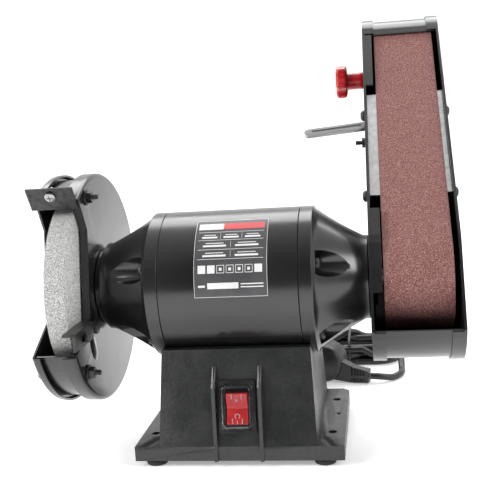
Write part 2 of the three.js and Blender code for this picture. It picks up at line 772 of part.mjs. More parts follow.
function idlerCarriage() {
  const { front, back, half } = rodSpan;
  const pegTop = lever.height - lever.thick / 2 - gap;
  return joined(
    block(carriageX - half, carriageX + half, front, back, 118, 182.5),
    block(carriageX - 10, carriageX + 10, -20, 8, 182, 185),
    block(carriageX - 6, carriageX + 6, -20, -17, 184.5, 196.5),
    block(carriageX - 6, carriageX + 6, 5, 8, 184.5, 196.5),
    rod('y', 2.5, -20, 8, [carriageX, yokePin], 20),
    block(127.5, 135, -lever.front, front + 1, pegTop - 5, pegTop),
  );
}

function tensionSpring() {
  const [inner, outer] = [8.9, 10.6];
  const centre = [carriageX, (rodSpan.front + rodSpan.back) / 2];
  return rod('z', outer, 160.3, 181.7, centre, 20).subtract(rod('z', inner, 150, 190, centre, 20));
}

function tensionLever() {
  const { height, pivot, reach, tip, drop, thick, front, back } = lever;
  const half = thick / 2;
  const outline = [
    ...arc([height, pivot + reach], half, 0, 180, 8),
    [height - half, pivot - 10],
    ...arc([height - drop, tip + half], half, 180, 360, 8),
    [height + half, pivot - 10],
  ];
  const bar = pushed('y', outline, -front, -back);
  return bar.subtract(rod('y', 2.2, -30, 0, [pivot, height], 16));
}

function trackingKnob() {
  const place = [-knob.front, knob.height];
  const lobes = [0, 60, 120, 180, 240, 300].map((angle) => {
    const [y, z] = onCircle(10.6, angle);
    return rod('x', 4.4, knob.head, knob.neck - 0.5, [place[0] + y, place[1] + z], 10);
  });
  return joined(
    rod('x', 11.5, knob.head, knob.neck, place, 18),
    ...lobes,
    rod('x', 7.6, knob.neck - 1, arm.left - 0.6, place, 16),
    rod('x', 2.9, 95, 107, place, 10),
  );
}

function guideStud() {
  return joined(
    rod('x', stud.radius, stud.end, 105.5, stud.place, 14),
    rod('x', 4.2, arm.left - 3.4, arm.left - gap, stud.place, 6),
  );
}

part(armGroup, 'idler_drum', 'darkSteel', idlerDrum());
part(armGroup, 'idler_yoke', 'darkSteel', idlerYoke());
part(armGroup, 'idler_carriage', 'darkSteel', idlerCarriage());
part(armGroup, 'tension_spring', 'steel', tensionSpring());
part(armGroup, 'tension_lever', 'steel', tensionLever());
part(armGroup, 'tracking_knob', 'redPlastic', trackingKnob());
part(armGroup, 'housing_stud', 'darkSteel', guideStud());

// mains cord: out of the gland, down to the bench, into a hank, and out to the angled plug
function cordTube(points) {
  const route = points.map((point) => new THREE.Vector3(...point));
  const curve = new THREE.CatmullRomCurve3(route, false, 'centripetal');
  const outline = arc([0, 0], cord.diameter / 2, 0, 324, 9);
  const section = new THREE.Shape(outline.map(([p, q]) => new THREE.Vector2(p, q)));
  const steps = Math.round(curve.getLength() / (2.5 * cord.diameter));
  return solid(new THREE.ExtrudeGeometry(section, { steps, extrudePath: curve, bevelEnabled: false }));
}

const bench = cord.diameter / 2 + 0.25;
const leadX = hank.x - hank.halfLength + cord.diameter / 2;
const tailX = hank.x + hank.halfLength - cord.diameter / 2;
const hankFace = hank.y - 18.2;

const leadRoute = [
  [cord.exitX, 89.3, cord.exitZ], [cord.exitX, 96, cord.exitZ - 0.5], [29.8, 106, 26], [29.5, 116, 19],
  [29, 126, 11.6], [28.3, 136, 6.2], [27.4, 146, 3.9], [26.2, 157, bench], [25.1, 168, bench],
  [24.5, 178, bench], [leadX, hankFace, bench],
];

function tailRoute() {
  const turn = THREE.MathUtils.degToRad(plugTurn);
  const bend = (tailX - plugEnd[0]) / (1 - Math.sin(turn));
  const centre = [tailX - bend, plugEnd[1] + bend * Math.cos(turn)];
  const points = [];
  for (let i = 0; i <= 6; i += 1) {
    const [x, y] = onCircle(bend, -90 + plugTurn + (90 - plugTurn) * i / 6);
    points.push([centre[0] + x, centre[1] + y, Math.max(bench, 6.5 - 0.4 * i * i)]);
  }
  points.push([tailX, 156, 4.6], [tailX, 165, 8.6], [tailX, 176, 13.6], [tailX, hankFace, hank.topLayer]);
  points[0] = [plugEnd[0] + 0.9 * Math.cos(turn), plugEnd[1] + 0.9 * Math.sin(turn), 6.5];
  return points;
}

function hankSolid() {
  const { x, y, halfLength, radius, height } = hank;
  const straight = halfLength - radius;
  const outline = [
    ...arc([x + straight, y], radius, -90, 90, 14),
    ...arc([x - straight, y], radius, 90, 270, 14),
  ];
  return pushed('z', outline, 0.2, height);
}

// angled plug resting on its rim, pins to the back; drawn along +X with its cord end at the origin
function mainsPlug() {
  const [bodyX, bodyZ, radius] = [-42, 17.9, 17.6];
  const grip = [[1.1, 0], [12, 0], [15.4, -14], [23, -30], [23, bodyX], [4, bodyX], [0.3, -14]];
  let body = joined(
    pushed('y', grip, -5.6, 5.6),
    rod('y', radius, -8.5, 17, [bodyX, bodyZ], 32),
  );
  for (const side of [-1, 1]) {
    const notch = bodyZ + side * (radius - 1.5);
    body = body.subtract(block(bodyX - 2.6, bodyX + 2.6, 4, 20, notch - 2, notch + 2));
    body = body.add(rod('y', 2.4, 16, 35, [bodyX + side * 9.5, bodyZ], 14));
  }
  const turn = new THREE.Matrix4().makeRotationZ(THREE.MathUtils.degToRad(plugTurn));
  turn.setPosition(plugEnd[0], plugEnd[1], 0);
  return body.transform(turn.elements);
}

part(grinder, 'cord_lead', 'rubber', cordTube(leadRoute));
part(grinder, 'cord_hank', 'rubber', hankSolid());
part(grinder, 'cord_tail', 'rubber', cordTube(tailRoute()));
part(grinder, 'mains_plug', 'blackPlastic', mainsPlug());

// the origin goes to the bottom centre of everything but the cord
const cordNodes = ['cord_lead', 'cord_hank', 'cord_tail', 'mains_plug'];
grinder.updateMatrixWorld(true);
const bounds = new THREE.Box3();
grinder.traverse((child) => {
  if (child.isMesh && !cordNodes.includes(child.name)) bounds.expandByObject(child, true);
});
const middle = bounds.getCenter(new THREE.Vector3());
grinder.position.set(-middle.x, -middle.y, -bounds.min.z);

export default grinder;
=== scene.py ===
# Combined bench grinder and belt sander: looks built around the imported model
import json
import math
import bpy
import bmesh
from mathutils import Matrix, Vector


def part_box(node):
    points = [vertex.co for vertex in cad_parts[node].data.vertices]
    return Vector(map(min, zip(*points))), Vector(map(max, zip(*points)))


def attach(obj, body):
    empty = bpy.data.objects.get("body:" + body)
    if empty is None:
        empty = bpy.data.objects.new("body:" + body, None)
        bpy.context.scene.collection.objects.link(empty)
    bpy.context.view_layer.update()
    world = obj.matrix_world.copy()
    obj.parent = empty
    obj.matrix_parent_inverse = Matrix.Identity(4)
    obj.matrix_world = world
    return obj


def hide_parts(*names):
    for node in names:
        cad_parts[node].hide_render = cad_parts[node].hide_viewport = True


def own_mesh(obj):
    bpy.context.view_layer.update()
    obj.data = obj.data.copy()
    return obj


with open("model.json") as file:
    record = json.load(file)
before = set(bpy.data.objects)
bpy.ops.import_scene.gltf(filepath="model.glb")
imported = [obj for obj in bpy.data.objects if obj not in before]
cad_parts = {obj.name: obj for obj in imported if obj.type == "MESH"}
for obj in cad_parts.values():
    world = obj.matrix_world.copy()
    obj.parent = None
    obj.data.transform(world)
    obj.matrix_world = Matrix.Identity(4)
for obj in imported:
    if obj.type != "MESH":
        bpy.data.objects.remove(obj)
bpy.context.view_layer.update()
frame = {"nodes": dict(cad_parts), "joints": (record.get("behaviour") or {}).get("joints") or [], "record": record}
joints = {joint["name"]: joint for joint in frame["joints"]}
mm = 0.001
clearGap = 0.3

# three drawing frames in millimetres: the bench, the motor shaft, and the arm drawn upright on the shaft
shaftX, shaftY, shaftZ = joints["rotor_spin"]["pos_m"]
scaleMm = Matrix.Scale(mm, 4)
onBench = Matrix.Translation((shaftX, shaftY, 0)) @ scaleMm
onShaft = Matrix.Translation((shaftX, shaftY, shaftZ)) @ scaleMm
armLean = math.radians(47)
onArm = Matrix.Translation((shaftX, shaftY, shaftZ)) @ Matrix.Rotation(-armLean, 4, "X") @ scaleMm


def spreadOver(tree, value, low, high, toLow, toHigh):
    spread = tree.nodes.new("ShaderNodeMapRange")
    settings = {"From Min": low, "From Max": high, "To Min": toLow, "To Max": toHigh}
    for name, number in settings.items():
        spread.inputs[name].default_value = number
    tree.links.new(value, spread.inputs["Value"])
    return spread.outputs["Result"]


def lookMatrix(place, yaw, pitch, roll):
    forward = Vector((-math.sin(yaw) * math.cos(pitch), math.cos(yaw) * math.cos(pitch), -math.sin(pitch)))
    level = Vector((math.cos(yaw), math.sin(yaw), 0))
    upright = level.cross(forward)
    right = level * math.cos(roll) + upright * math.sin(roll)
    up = upright * math.cos(roll) - level * math.sin(roll)
    turn = Matrix((right, up, -forward)).transposed().to_4x4()
    return Matrix.Translation(place) @ turn


def makeCamera():
    view = {"place": (0.0982, -0.71401, 0.2605), "yaw": 8.96, "pitch": 9.03, "roll": -3.84, "lens": 64.54}
    data = bpy.data.cameras.new("camera")
    data.lens = view["lens"]
    data.sensor_width = 36
    data.clip_start = 0.01
    camera = bpy.data.objects.new("camera", data)
    bpy.context.scene.collection.objects.link(camera)
    angles = [math.radians(view[name]) for name in ("yaw", "pitch", "roll")]
    camera.matrix_world = lookMatrix(Vector(view["place"]), *angles)
    bpy.context.scene.camera = camera


makeCamera()
print("camera set")


def makeStage():
    studio = {"width": 7.0, "front": -3.2, "back": 1.9, "wall": 3.4, "sweep": 0.9, "shade": 0.86,
              "glow": 0.35}
    bm = bmesh.new()
    profile = [(studio["front"], 0.0)]
    for step in range(13):
        angle = math.radians(90 * step / 12)
        profile.append((studio["back"] + studio["sweep"] * math.sin(angle),
                        studio["sweep"] * (1 - math.cos(angle))))
    profile.append((studio["back"] + studio["sweep"], studio["wall"]))
    rows = []
    for y, z in profile:
        rows.append([bm.verts.new((side * studio["width"] / 2, y, z)) for side in (-1, 1)])
    for low, high in zip(rows, rows[1:]):
        bm.faces.new((low[0], low[1], high[1], high[0]))
    mesh = bpy.data.meshes.new("floor")
    bm.to_mesh(mesh)
    bm.free()
    mesh.shade_smooth()
    floor = bpy.data.objects.new("floor", mesh)
    bpy.context.scene.collection.objects.link(floor)
    paper = bpy.data.materials.new("floor_paper")
    paper.use_nodes = True
    shader = paper.node_tree.nodes["Principled BSDF"]
    shader.inputs["Base Color"].default_value = (studio["shade"],) * 3 + (1,)
    shader.inputs["Roughness"].default_value = 0.9
    shader.inputs["Specular IOR Level"].default_value = 0.1
    shader.inputs["Emission Color"].default_value = (1, 1, 1, 1)
    shader.inputs["Emission Strength"].default_value = studio["glow"]
    mesh.materials.append(paper)


def addSoftbox(name, place, target, size, power):
    data = bpy.data.lights.new(name, "AREA")
    data.shape = "RECTANGLE"
    data.size, data.size_y = size
    data.energy = power
    light = bpy.data.objects.new(name, data)
    aim = Vector(target) - Vector(place)
    light.matrix_world = Matrix.Translation(place) @ aim.to_track_quat("-Z", "Y").to_matrix().to_4x4()
    bpy.context.scene.collection.objects.link(light)


def lightStage():
    world = bpy.data.worlds.new("studio")
    world.use_nodes = True
    background = world.node_tree.nodes["Background"]
    background.inputs["Color"].default_value = (1, 1, 1, 1)
    # a white room that is darker on the operator side
    sky = {"front": 0.12, "back": 1.0}
    direction = world.node_tree.nodes.new("ShaderNodeTexCoord").outputs["Generated"]
    axes = world.node_tree.nodes.new("ShaderNodeSeparateXYZ")
    world.node_tree.links.new(direction, axes.inputs["Vector"])
    strength = spreadOver(world.node_tree, axes.outputs["Y"], -0.8, 0.35, sky["front"], sky["back"])
    world.node_tree.links.new(strength, background.inputs["Strength"])
    bpy.context.scene.world = world
    middle = (0, 0, 0.15)
    addSoftbox("overhead", (0, 1.25, 1.9), middle, (3.0, 1.1), 46)
    addSoftbox("left_box", (-1.9, -1.0, 1.3), middle, (1.0, 1.4), 40)
    addSoftbox("right_box", (1.9, -0.9, 1.4), middle, (0.8, 1.3), 26)
    bpy.context.scene.view_settings.view_transform = "Standard"
    bpy.context.scene.view_settings.exposure = 0


makeStage()
lightStage()
print("stage and light ready")


def newFinish(name):
    material = bpy.data.materials.new(name)
    material.use_nodes = True
    tree = material.node_tree
    shader = tree.nodes["Principled BSDF"]
    place = tree.nodes.new("ShaderNodeTexCoord").outputs["Object"]
    return material, tree, shader, place


def addNoise(tree, place, scale, detail=3.0, stretch=(1, 1, 1), roughness=0.55):
    mapping = tree.nodes.new("ShaderNodeMapping")
    mapping.inputs["Scale"].default_value = stretch
    tree.links.new(place, mapping.inputs["Vector"])
    noise = tree.nodes.new("ShaderNodeTexNoise")
    noise.inputs["Scale"].default_value = scale
    noise.inputs["Detail"].default_value = detail
    noise.inputs["Roughness"].default_value = roughness
    tree.links.new(mapping.outputs["Vector"], noise.inputs["Vector"])
    return noise.outputs["Fac"]


def addCells(tree, place, scale, feature="F1"):
    cells = tree.nodes.new("ShaderNodeTexVoronoi")
    cells.feature = feature
    cells.inputs["Scale"].default_value = scale
    tree.links.new(place, cells.inputs["Vector"])
    return cells


def colourFrom(tree, shader, value, stops):
    ramp = tree.nodes.new("ShaderNodeValToRGB")
    while len(ramp.color_ramp.elements) < len(stops):
        ramp.color_ramp.elements.new(0.5)
    for element, (position, colour) in zip(ramp.color_ramp.elements, stops):
        element.position = position
        element.color = (*colour, 1)
    tree.links.new(value, ramp.inputs["Fac"])
    tree.links.new(ramp.outputs["Color"], shader.inputs["Base Color"])


def roughFrom(tree, shader, value, low, high):
    tree.links.new(spreadOver(tree, value, 0.3, 0.7, low, high), shader.inputs["Roughness"])


def addBump(tree, shader, layers):
    # each layer is a height and its depth in millimetres
    previous = None
    for height, depth in layers:
        bump = tree.nodes.new("ShaderNodeBump")
        bump.inputs["Strength"].default_value = 1.0
        bump.inputs["Distance"].default_value = depth * mm
        tree.links.new(height, bump.inputs["Height"])
        if previous is not None:
            tree.links.new(previous, bump.inputs["Normal"])
        previous = bump.outputs["Normal"]
    tree.links.new(previous, shader.inputs["Normal"])


def setShader(shader, **values):
    for name, value in values.items():
        shader.inputs[name.replace("_", " ")].default_value = value


def glossBlack():
    look = {"dark": (0.008, 0.008, 0.009), "light": (0.013, 0.013, 0.014), "rough": (0.19, 0.27)}
    material, tree, shader, place = newFinish("black_enamel")
    cloud = addNoise(tree, place, 22, 4)
    colourFrom(tree, shader, cloud, [(0.35, look["dark"]), (0.7, look["light"])])
    roughFrom(tree, shader, cloud, *look["rough"])
    peel = addNoise(tree, place, 420, 2)
    dust = addNoise(tree, place, 2400, 2)
    addBump(tree, shader, [(peel, 0.02), (dust, 0.006)])
    setShader(shader, Specular_IOR_Level=0.8)
    return material


def hammeredBlack():
    look = {"dark": (0.009, 0.0095, 0.010), "light": (0.020, 0.021, 0.022), "rough": (0.30, 0.44)}
    material, tree, shader, place = newFinish("hammered_black")
    cells = addCells(tree, place, 620, "SMOOTH_F1")
    cloud = addNoise(tree, place, 60, 5)
    colourFrom(tree, shader, cells.outputs["Distance"], [(0.1, look["light"]), (0.75, look["dark"])])
    roughFrom(tree, shader, cloud, *look["rough"])
    addBump(tree, shader, [(cells.outputs["Distance"], -0.10), (addNoise(tree, place, 1500, 3), 0.03)])
    setShader(shader, Specular_IOR_Level=0.8)
    return material


def abrasiveStone():
    look = {"pore": (0.17, 0.165, 0.16), "body": (0.42, 0.415, 0.405), "grain": (0.86, 0.86, 0.85)}
    material, tree, shader, place = newFinish("abrasive_stone")
    cells = addCells(tree, place, 1500)
    speck = addNoise(tree, place, 1200, 5, roughness=0.75)
    colourFrom(tree, shader, speck, [(0.36, look["pore"]), (0.48, look["body"]), (0.62, look["grain"])])
    setShader(shader, Roughness=0.92, Specular_IOR_Level=0.25)
    addBump(tree, shader, [(cells.outputs["Distance"], 0.35), (speck, 0.3),
                           (addNoise(tree, place, 160, 3), 0.25)])
    return material


def abrasiveCloth():
    look = {"gap": (0.085, 0.033, 0.028), "body": (0.225, 0.088, 0.078), "grain": (0.60, 0.36, 0.33)}
    material, tree, shader, place = newFinish("abrasive_cloth")
    cells = addCells(tree, place, 2100)
    speck = addNoise(tree, place, 1300, 5, roughness=0.78)
    colourFrom(tree, shader, speck, [(0.34, look["gap"]), (0.50, look["body"]), (0.66, look["grain"])])
    setShader(shader, Roughness=0.8, Specular_IOR_Level=0.3)
    addBump(tree, shader, [(cells.outputs["Distance"], 0.25), (speck, 0.22)])
    return material


def beltBacking():
    material, tree, shader, place = newFinish("belt_backing")
    weave = addNoise(tree, place, 900, 2, (1, 0.15, 0.15))
    colourFrom(tree, shader, weave, [(0.3, (0.16, 0.10, 0.07)), (0.7, (0.30, 0.20, 0.15))])
    setShader(shader, Roughness=0.9)
    addBump(tree, shader, [(weave, 0.1)])
    return material


def brushedSteel(name, dark, light, rough, stretch):
    material, tree, shader, place = newFinish(name)
    lines = addNoise(tree, place, 260, 4, stretch)
    cloud = addNoise(tree, place, 35, 3)
    colourFrom(tree, shader, lines, [(0.25, dark), (0.75, light)])
    roughFrom(tree, shader, cloud, *rough)
    setShader(shader, Metallic=1.0)
    addBump(tree, shader, [(lines, 0.02)])
    return material


def blackenedSteel():
    material, tree, shader, place = newFinish("blackened_steel")
    cloud = addNoise(tree, place, 300, 4)
    colourFrom(tree, shader, cloud, [(0.3, (0.035, 0.034, 0.035)), (0.75, (0.085, 0.082, 0.08))])
    roughFrom(tree, shader, cloud, 0.32, 0.5)
    setShader(shader, Metallic=0.85)
    addBump(tree, shader, [(addNoise(tree, place, 1300, 2), 0.015)])
    return material


def mouldedPlastic(name, dark, light, rough, grain, depth, coat=0.0):
    material, tree, shader, place = newFinish(name)
    cloud = addNoise(tree, place, 90, 3)
    colourFrom(tree, shader, cloud, [(0.3, dark), (0.7, light)])
    roughFrom(tree, shader, cloud, *rough)
    setShader(shader, Coat_Weight=coat, Coat_Roughness=0.12)
    addBump(tree, shader, [(addNoise(tree, place, grain, 2), depth)])
    return material


def redPaintedGlow():
    material, tree, shader, place = newFinish("red_painted_glow")
    cloud = addNoise(tree, place, 140, 2)
    colourFrom(tree, shader, cloud, [(0.3, (0.62, 0.012, 0.016)), (0.7, (0.80, 0.03, 0.03))])
    # the faint red emission is a painted glow: nothing lights the rocker from inside
    setShader(shader, Roughness=0.22, Subsurface_Weight=0.25, Coat_Weight=0.5, Coat_Roughness=0.08,
              Emission_Color=(1.0, 0.03, 0.03, 1), Emission_Strength=0.10)
    shader.inputs["Subsurface Radius"].default_value = (0.004, 0.001, 0.001)
    return material


def clearCover():
    material, tree, shader, place = newFinish("clear_cover")
    setShader(shader, Base_Color=(0.93, 0.95, 0.96, 1), Roughness=0.07, IOR=1.42, Transmission_Weight=1.0)
    addBump(tree, shader, [(addNoise(tree, place, 160, 2), 0.05)])
    return material


def laminatedSteel():
    material, tree, shader, place = newFinish("laminated_steel")
    lines = addNoise(tree, place, 1500, 1, (1, 0, 0))
    colourFrom(tree, shader, lines, [(0.35, (0.12, 0.12, 0.125)), (0.65, (0.34, 0.34, 0.35))])
    setShader(shader, Metallic=0.9, Roughness=0.5)
    addBump(tree, shader, [(lines, 0.1)])
    return material


def copperWire():
    material, tree, shader, place = newFinish("copper_wire")
    lines = addCells(tree, place, 900)
    # the colour is light on the raised middle of each cell and dark toward its sunken border: painted shade in the
    # crevices between the wire turns
    colourFrom(tree, shader, lines.outputs["Distance"],
               [(0.1, (0.62, 0.25, 0.09)), (0.8, (0.22, 0.07, 0.03))])
    setShader(shader, Metallic=0.9, Roughness=0.33)
    addBump(tree, shader, [(lines.outputs["Distance"], -0.2)])
    return material


finishes = {
    "enamel": glossBlack(),
    "hammered": hammeredBlack(),
    "stone": abrasiveStone(),
    "grit": abrasiveCloth(),
    "backing": beltBacking(),
    "steel": brushedSteel("bright_steel", (0.30, 0.30, 0.31), (0.50, 0.50, 0.50), (0.24, 0.38),
                          (0.05, 1, 1)),
    "platen": brushedSteel("platen_steel", (0.50, 0.50, 0.51), (0.74, 0.74, 0.74), (0.30, 0.42),
                           (1, 1, 0.05)),
    "zinc": brushedSteel("zinc_plate", (0.30, 0.31, 0.32), (0.50, 0.50, 0.49), (0.25, 0.4), (1, 1, 1)),
    "blackened": blackenedSteel(),
    "lamination": laminatedSteel(),
    "copper": copperWire(),
    "rubber": mouldedPlastic("black_rubber", (0.010, 0.010, 0.010), (0.022, 0.022, 0.022), (0.55, 0.75),
                             900, 0.05),
    "sheath": mouldedPlastic("cord_sheath", (0.012, 0.012, 0.013), (0.022, 0.022, 0.023), (0.34, 0.46),
                             700, 0.02),
    "moulded": mouldedPlastic("moulded_black", (0.010, 0.010, 0.011), (0.018, 0.018, 0.019), (0.34, 0.48),
                              1400, 0.04),
    "redKnob": mouldedPlastic("red_knob", (0.50, 0.006, 0.010), (0.66, 0.014, 0.018), (0.2, 0.32), 800,
                              0.02, 0.3),
    "redPaintedGlow": redPaintedGlow(),
    "clear": clearCover(),
    "print": mouldedPlastic("label_film", (0.060, 0.060, 0.063), (0.078, 0.078, 0.081), (0.3, 0.4), 1200,
                            0.01),
    "printWhite": mouldedPlastic("label_white", (0.72, 0.72, 0.72), (0.80, 0.80, 0.80), (0.35, 0.45), 1200,
                                 0.01),
    "printRed": mouldedPlastic("label_red", (0.55, 0.05, 0.06), (0.62, 0.07, 0.08), (0.35, 0.45), 1200,
                               0.01),
}
print("finishes ready")


def bodyOf(node):
    return next(name for name, nodes in frame["record"]["behaviour"]["bodies"].items() if node in nodes)


def addPiece(name, bm, space, finish, node, bevel=0.0, segments=2, sharp=32, shows=True):
    # a piece rides on the body of its CAD node; shows says that it stands for the node
    bmesh.ops.recalc_face_normals(bm, faces=bm.faces)
    mesh = bpy.data.meshes.new(name)
    bm.to_mesh(mesh)
    bm.free()
    mesh.transform(space)
    mesh.shade_smooth()
    mesh.set_sharp_from_angle(angle=math.radians(sharp))
    mesh.materials.append(finishes[finish])
    piece = bpy.data.objects.new(name, mesh)
    bpy.context.scene.collection.objects.link(piece)
    if bevel > 0:
        rounding = piece.modifiers.new("rounding", "BEVEL")
        rounding.width = bevel * mm
        rounding.segments = segments
        rounding.limit_method = "ANGLE"
        rounding.angle_limit = math.radians(sharp)
        rounding.harden_normals = False
    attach(piece, bodyOf(node))
    if shows:
        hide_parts(node)
    return piece


def refined(node, finish, bevel=0.4, segments=2, sharp=32, split=False):
    # the CAD solid with merged faces and rounded edges; split fills a wide face with holes by triangles
    bm = bmesh.new()
    bm.from_mesh(frame["nodes"][node].data)
    bmesh.ops.remove_doubles(bm, verts=bm.verts, dist=2e-6)
    bmesh.ops.dissolve_limit(bm, angle_limit=math.radians(0.8), verts=bm.verts, edges=bm.edges)
    if split:
        bmesh.ops.triangulate(bm, faces=bm.faces)
    return addPiece(node + "_finished", bm, Matrix.Identity(4), finish, node, bevel, segments, sharp)


def ringAt(bm, x, sides, radiusAt):
    angles = [2 * math.pi * step / sides for step in range(sides)]
    return [bm.verts.new((x, radiusAt(angle) * math.cos(angle), radiusAt(angle) * math.sin(angle)))
            for angle in angles]


def joinRings(bm, rings):
    for low, high in zip(rings, rings[1:]):
        for step in range(len(low)):
            after = (step + 1) % len(low)
            bm.faces.new(list(dict.fromkeys([low[step], low[after], high[after], high[step]])))


def turnedMesh(points, sides=96, closed=True):
    # [x, radius] points turned about the X axis
    bm = bmesh.new()
    rings = [ringAt(bm, x, sides, lambda angle: radius) if radius else [bm.verts.new((x, 0, 0))] * sides
             for x, radius in points]
    if closed and points[0][1] > 0:
        rings.append(rings[0])
    joinRings(bm, rings)
    return bm


def pushedMesh(outline, start, end):
    # [y, z] points pushed along X
    bm = bmesh.new()
    low = [bm.verts.new((start, y, z)) for y, z in outline]
    high = [bm.verts.new((end, y, z)) for y, z in outline]
    bm.faces.new(low)
    bm.faces.new(list(reversed(high)))
    for step in range(len(outline)):
        after = (step + 1) % len(outline)
        bm.faces.new((low[step], high[step], high[after], low[after]))
    return bm


def boxOutline(left, right, low, high):
    return [(left, low), (right, low), (right, high), (left, high)]


def arcPoints(centre, radius, startDegrees, endDegrees, steps):
    points = []
    for step in range(steps + 1):
        angle = math.radians(startDegrees + (endDegrees - startDegrees) * step / steps)
        points.append((centre[0] + radius * math.cos(angle), centre[1] + radius * math.sin(angle)))
    return points


def turnedAbout(bm, matrix):
    bmesh.ops.transform(bm, matrix=matrix, verts=bm.verts)
    return bm


def movedTo(bm, x, y=0, z=0):
    return turnedAbout(bm, Matrix.Translation((x, y, z)))


def joinMeshes(*parts):
    whole = bmesh.new()
    for part in parts:
        mesh = bpy.data.meshes.new("part")
        part.to_mesh(mesh)
        part.free()
        whole.from_mesh(mesh)
        bpy.data.meshes.remove(mesh)
    return whole


def carve(bm, *cutters):
    # cuts closed meshes out of a closed mesh
    objects = []
    for source in (bm, *cutters):
        bmesh.ops.recalc_face_normals(source, faces=source.faces)
        mesh = bpy.data.meshes.new("carving")
        source.to_mesh(mesh)
        source.free()
        piece = bpy.data.objects.new("carving", mesh)
        bpy.context.scene.collection.objects.link(piece)
        objects.append(piece)
    body = objects[0]
    for cutter in objects[1:]:
        cut = body.modifiers.new("cut", "BOOLEAN")
        cut.operation = "DIFFERENCE"
        cut.solver = "EXACT"
        cut.object = cutter
    result = bmesh.new()
    result.from_object(body, bpy.context.evaluated_depsgraph_get())
    for piece in objects:
        mesh = piece.data
        bpy.data.objects.remove(piece)
        bpy.data.meshes.remove(mesh)
    bmesh.ops.remove_doubles(result, verts=result.verts, dist=0.002)
    return result


# cord: out of the gland, along the bench, into the hank, out to the plug
cordFacts = {"diameter": 6.2, "length": 1.5, "bench": 3.35, "inner": 18.6, "outer": 24.8, "hankLeft": 49.1,
             "hankRight": 99.1, "hankY": 205, "hankFace": 186.8, "plugEnd": (93.9, 125), "plugTurn": -12}


def leadRoute():
    return [(30, 89.3, 30), (30, 96, 29.5), (29.8, 106, 26), (29.5, 116, 19), (29, 126, 11.6),
            (28.3, 136, 6.2),
            (27.4, 146, 3.9), (26.2, 157, 3.35), (25.1, 168, 3.35), (24.5, 178, 3.35)]


def eased(progress, window):
    share = min(max((progress - window[0]) / (window[1] - window[0]), 0), 1)
    return share * share * (3 - 2 * share)


def halfTurn(far, start, end, window, hump=0.0):
    # half a turn of the hank: a quarter round one end, a straight run, a quarter round the other end
    sign = 1 if far else -1
    first, last = ("hankLeft", "hankRight") if far else ("hankRight", "hankLeft")
    middle = cordFacts["hankY"]
    points = []
    for step in range(5):
        angle = math.radians(22.5 * step)
        radius, height = start
        points.append((cordFacts[first] - sign * radius * math.cos(angle),
                       middle + sign * radius * math.sin(angle), height))
    for step in range(1, 8):
        progress = step / 8
        share = eased(progress, window)
        radius = start[0] + (end[0] - start[0]) * share
        height = start[1] + (end[1] - start[1]) * share
        height += hump * math.sin(math.pi * min(max((progress - 0.15) / 0.7, 0), 1)) ** 2
        x = cordFacts[first] + (cordFacts[last] - cordFacts[first]) * progress
        points.append((x, middle + sign * radius, height))
    for step in range(4):
        angle = math.radians(22.5 * step)
        radius, height = end
        points.append((cordFacts[last] + sign * radius * math.sin(angle),
                       middle + sign * radius * math.cos(angle), height))
    return points


def hankRoute():
    # three layers of two turns each; the strands change places one after the other on the near side
    inner, outer, step = cordFacts["inner"], cordFacts["outer"], cordFacts["diameter"]
    low = cordFacts["bench"]
    at = {name: (inner if name[0] == "i" else outer, low + step * (int(name[1]) - 1))
          for name in ("i1", "o1", "i2", "o2", "i3", "o3")}
    halves = [("o1", "o1", (0, 1), 0), ("o1", "i1", (0.7, 1), 0), ("i1", "i1", (0, 1), 0),
              ("i1", "i2", (0.45, 0.75), 0), ("i2", "i2", (0, 1), 0), ("i2", "o2", (0.22, 0.5), 0),
              ("o2", "o2", (0, 1), 0), ("o2", "o3", (0, 0.25), 0), ("o3", "i3", (0.3, 0.7), 0),
              ("i3", "i3", (0, 1), 0), ("i3", "o3", (0.3, 0.7), step)]
    points = []
    for number, (start, end, window, hump) in enumerate(halves):
        points += halfTurn(number % 2 == 0, at[start], at[end], window, hump)
    return points


def tailRoute():
    turn = math.radians(cordFacts["plugTurn"])
    tailX = cordFacts["hankRight"] + cordFacts["outer"]
    endX, endY = cordFacts["plugEnd"]
    bend = (tailX - endX) / (1 - math.sin(turn))
    centre = (tailX - bend, endY + bend * math.cos(turn))
    points = [(tailX, cordFacts["hankFace"] + 18.2, 15.75), (tailX, cordFacts["hankFace"], 15.75),
              (tailX, 176, 13.6), (tailX, 165, 8.6), (tailX, 156, 4.6)]
    for step in range(6, 0, -1):
        angle = turn - math.pi / 2 + (math.pi / 2 - turn) * step / 6
        height = max(cordFacts["bench"], 6.5 - 0.4 * step * step)
        points.append((centre[0] + bend * math.cos(angle), centre[1] + bend * math.sin(angle), height))
    points.append((endX + 0.9 * math.cos(turn), endY + 0.9 * math.sin(turn), 6.5))
    return points


def smoothLine(points, steps=4):
    # a Catmull-Rom line through the points
    line = []
    for index in range(len(points) - 1):
        before = points[max(index - 1, 0)]
        here, after = points[index], points[index + 1]
        beyond = points[min(index + 2, len(points) - 1)]
        for step in range(steps):
            t = step / steps
            bend = 2 * before - 5 * here + 4 * after - beyond
            twist = 3 * here - before - 3 * after + beyond
            line.append(0.5 * (2 * here + (after - before) * t + bend * t * t + twist * t ** 3))
    return line + [points[-1]]


def makeWire(name, points, space, radius, finish, resolution, closed=False):
    # a round wire through points in millimetres
    data = bpy.data.curves.new(name, "CURVE")
    data.dimensions = "3D"
    data.bevel_depth = radius * mm
    data.bevel_resolution = resolution
    data.use_fill_caps = not closed
    spline = data.splines.new("POLY")
    spline.use_cyclic_u = closed
    spline.points.add(len(points) - 1)
    for target, point in zip(spline.points, points):
        target.co = (*(space @ point), 1)
    data.materials.append(finishes[finish])
    wire = bpy.data.objects.new(name, data)
    bpy.context.scene.collection.objects.link(wire)
    return wire


